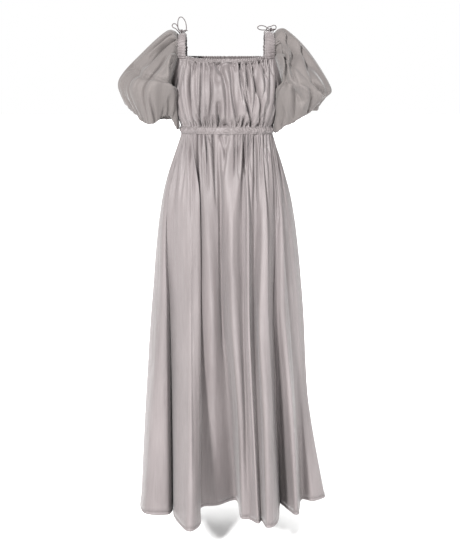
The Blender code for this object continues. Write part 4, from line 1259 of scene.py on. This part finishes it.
def puffSleeve(sideName):
    side = strap[sideName][0]
    look = sleeve[sideName]
    columns = sleeve["gathers"] * sleeve["columnsPerGather"]
    ring = spaced(armhole(sideName), columns)
    puff = [Vector(row[1:]) * mm for row in look["puff"]]
    arm = Vector((side * sleeve["armMiddle"], 0, 0))
    cuffRadius = sleeve["cuffRadius"]
    profiles = []
    for column, (start, out) in enumerate(ring):
        share = column / columns
        turn = share * math.tau
        ray = Vector((side * math.cos(turn), -math.sin(turn), 0))
        reach, height, lowReach, lowHeight = around(puff, share * len(puff))
        lift = sleeve["headUp"] + sleeve["headUpSwing"] * math.cos(turn)
        head = start + out * sleeve["headOut"] * (1 + math.cos(turn)) + Vector((0, 0, lift))
        bulge = arm + ray * reach + Vector((0, 0, height))
        crown = (head + bulge) / 2
        crown.z += look["crown"] * eased(-1, 1, math.cos(turn))
        degrees = share * 360
        for spot, (push, rise, fall) in zip((head, crown, bulge), sleeve["billow"]):
            spot += Vector((side * push[0], *push[1:])) * eased(*rise, degrees) * eased(*fall, degrees)
        low = arm + ray * lowReach + Vector((0, 0, lowHeight))
        endHeight = sleeve["cuffBottom"] - sleeve["cloth"] / 2 - seamGap
        under = arm + ray * (cuffRadius + 0.35 * (lowReach - cuffRadius))
        under.z = endHeight + min(0.45 * (lowHeight - endHeight), -0.002)
        turned = low.lerp(under, 0.15)
        turned -= ray * min(0.008, 0.25 * (low - under).length)
        end = arm + ray * cuffRadius + Vector((0, 0, endHeight))
        profiles.append((start, head, crown, bulge, low, turned, under, end))
    creases = list(look["creases"] + sleeve["backCreases"]) + edgeGathers(*sleeve["headGathers"])
    creases += edgeGathers(*sleeve["edgeRuffles"], edge=sleeve["edgePlace"], way=-1, wide=2.2)
    turns = [360 * column / columns for column in range(columns)]
    places = [7 * row / sleeve["rows"] for row in range(sleeve["rows"] + 1)]
    field = creaseField(turns, places, sleeve["scale"], creases, *sleeve["creaseSize"])
    stations = range(8)
    middle = []
    for row, place in enumerate(places):
        size = sleeve["gathersStand"] * math.sin(math.pi * min(place / 5.0, 1)) ** 0.7
        fade = eased(0, 0.25, place) * eased(7, 6.6, place)
        line = []
        for column, profile in enumerate(profiles):
            turn = column / columns * math.tau
            point = smooth(stations, profile, place)
            wave = math.cos(sleeve["gathers"] * turn + 0.4 * place)
            longWave = math.sin(5 * turn + 0.5 * place)
            calm = 1 - eased(-0.2, -0.8, math.cos(turn))
            stand = size * calm * (wave + 0.7 * longWave)
            stand += field[row, column] * (0.3 + 0.7 * calm)
            lowGather = ruche(2 * sleeve["gathers"] * column / columns + 0.1 * place, 0.8) - 0.5
            lowGather *= sleeve["lowGathersStand"] * eased(3.3, 4.8, place) * eased(7, 6, place)
            stand += lowGather * (0.4 + 0.6 * calm)
            ray = Vector((side * math.cos(turn), -math.sin(turn), 0.25))
            point = point + ray * (stand * fade)
            line.append(besideBodice(point) if 0 < row < sleeve["rows"] else point)
        middle.append(line)
    outer, inner = thinWalls(middle, True, sleeve["thickness"], -side)
    name = "sleeve" + sideName.capitalize()
    piece = clothPiece(name, outer, inner, True, sleeve["flat"], sleeveChiffon, flip=side > 0)
    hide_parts("sleeve_" + sideName)
    return piece


cuffBand = {
    "ruches": 30,
    "columnsPerRuche": 6,
    "rows": (0, 0.12, 0.3, 0.5, 0.7, 0.88, 1),
    "thickness": 0.0024,
    "trim": 0.0003,
    "puff": 0.0006,
    "flat": (0.34, 0.0165),
}


def cuff(sideName):
    side = strap[sideName][0]
    columns = cuffBand["ruches"] * cuffBand["columnsPerRuche"]
    half = cuffBand["thickness"] / 2 - cuffBand["trim"]
    outer, inner = [], []
    for share in cuffBand["rows"]:
        height = sleeve["cuffTop"] + (sleeve["cuffBottom"] - sleeve["cuffTop"]) * share
        outerLine, innerLine = [], []
        for column in range(columns):
            turn = math.tau * column / columns
            ray = Vector((math.sin(turn), -math.cos(turn), 0))
            place = column / cuffBand["columnsPerRuche"] + 0.2 * math.sin(5 * turn)
            pillow = abs(math.sin(math.pi * place))
            raised = cuffBand["puff"] * pillow * math.sin(math.pi * (0.1 + 0.8 * share))
            middle = Vector((side * sleeve["armMiddle"], 0, height)) + ray * sleeve["cuffRadius"]
            outerLine.append(middle + ray * (half + raised))
            innerLine.append(middle - ray * (half + 0.4 * raised))
        outer.append(outerLine)
        inner.append(innerLine)
    name = "cuffBand" + sideName.capitalize()
    piece = clothPiece(name, outer, inner, True, cuffBand["flat"], sleeveChiffon)
    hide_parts("cuff_band_" + sideName)
    return piece


for sideName in sides:
    puffSleeve(sideName)
    cuff(sideName)
print("dress: sleeves made")

print("dress: done")
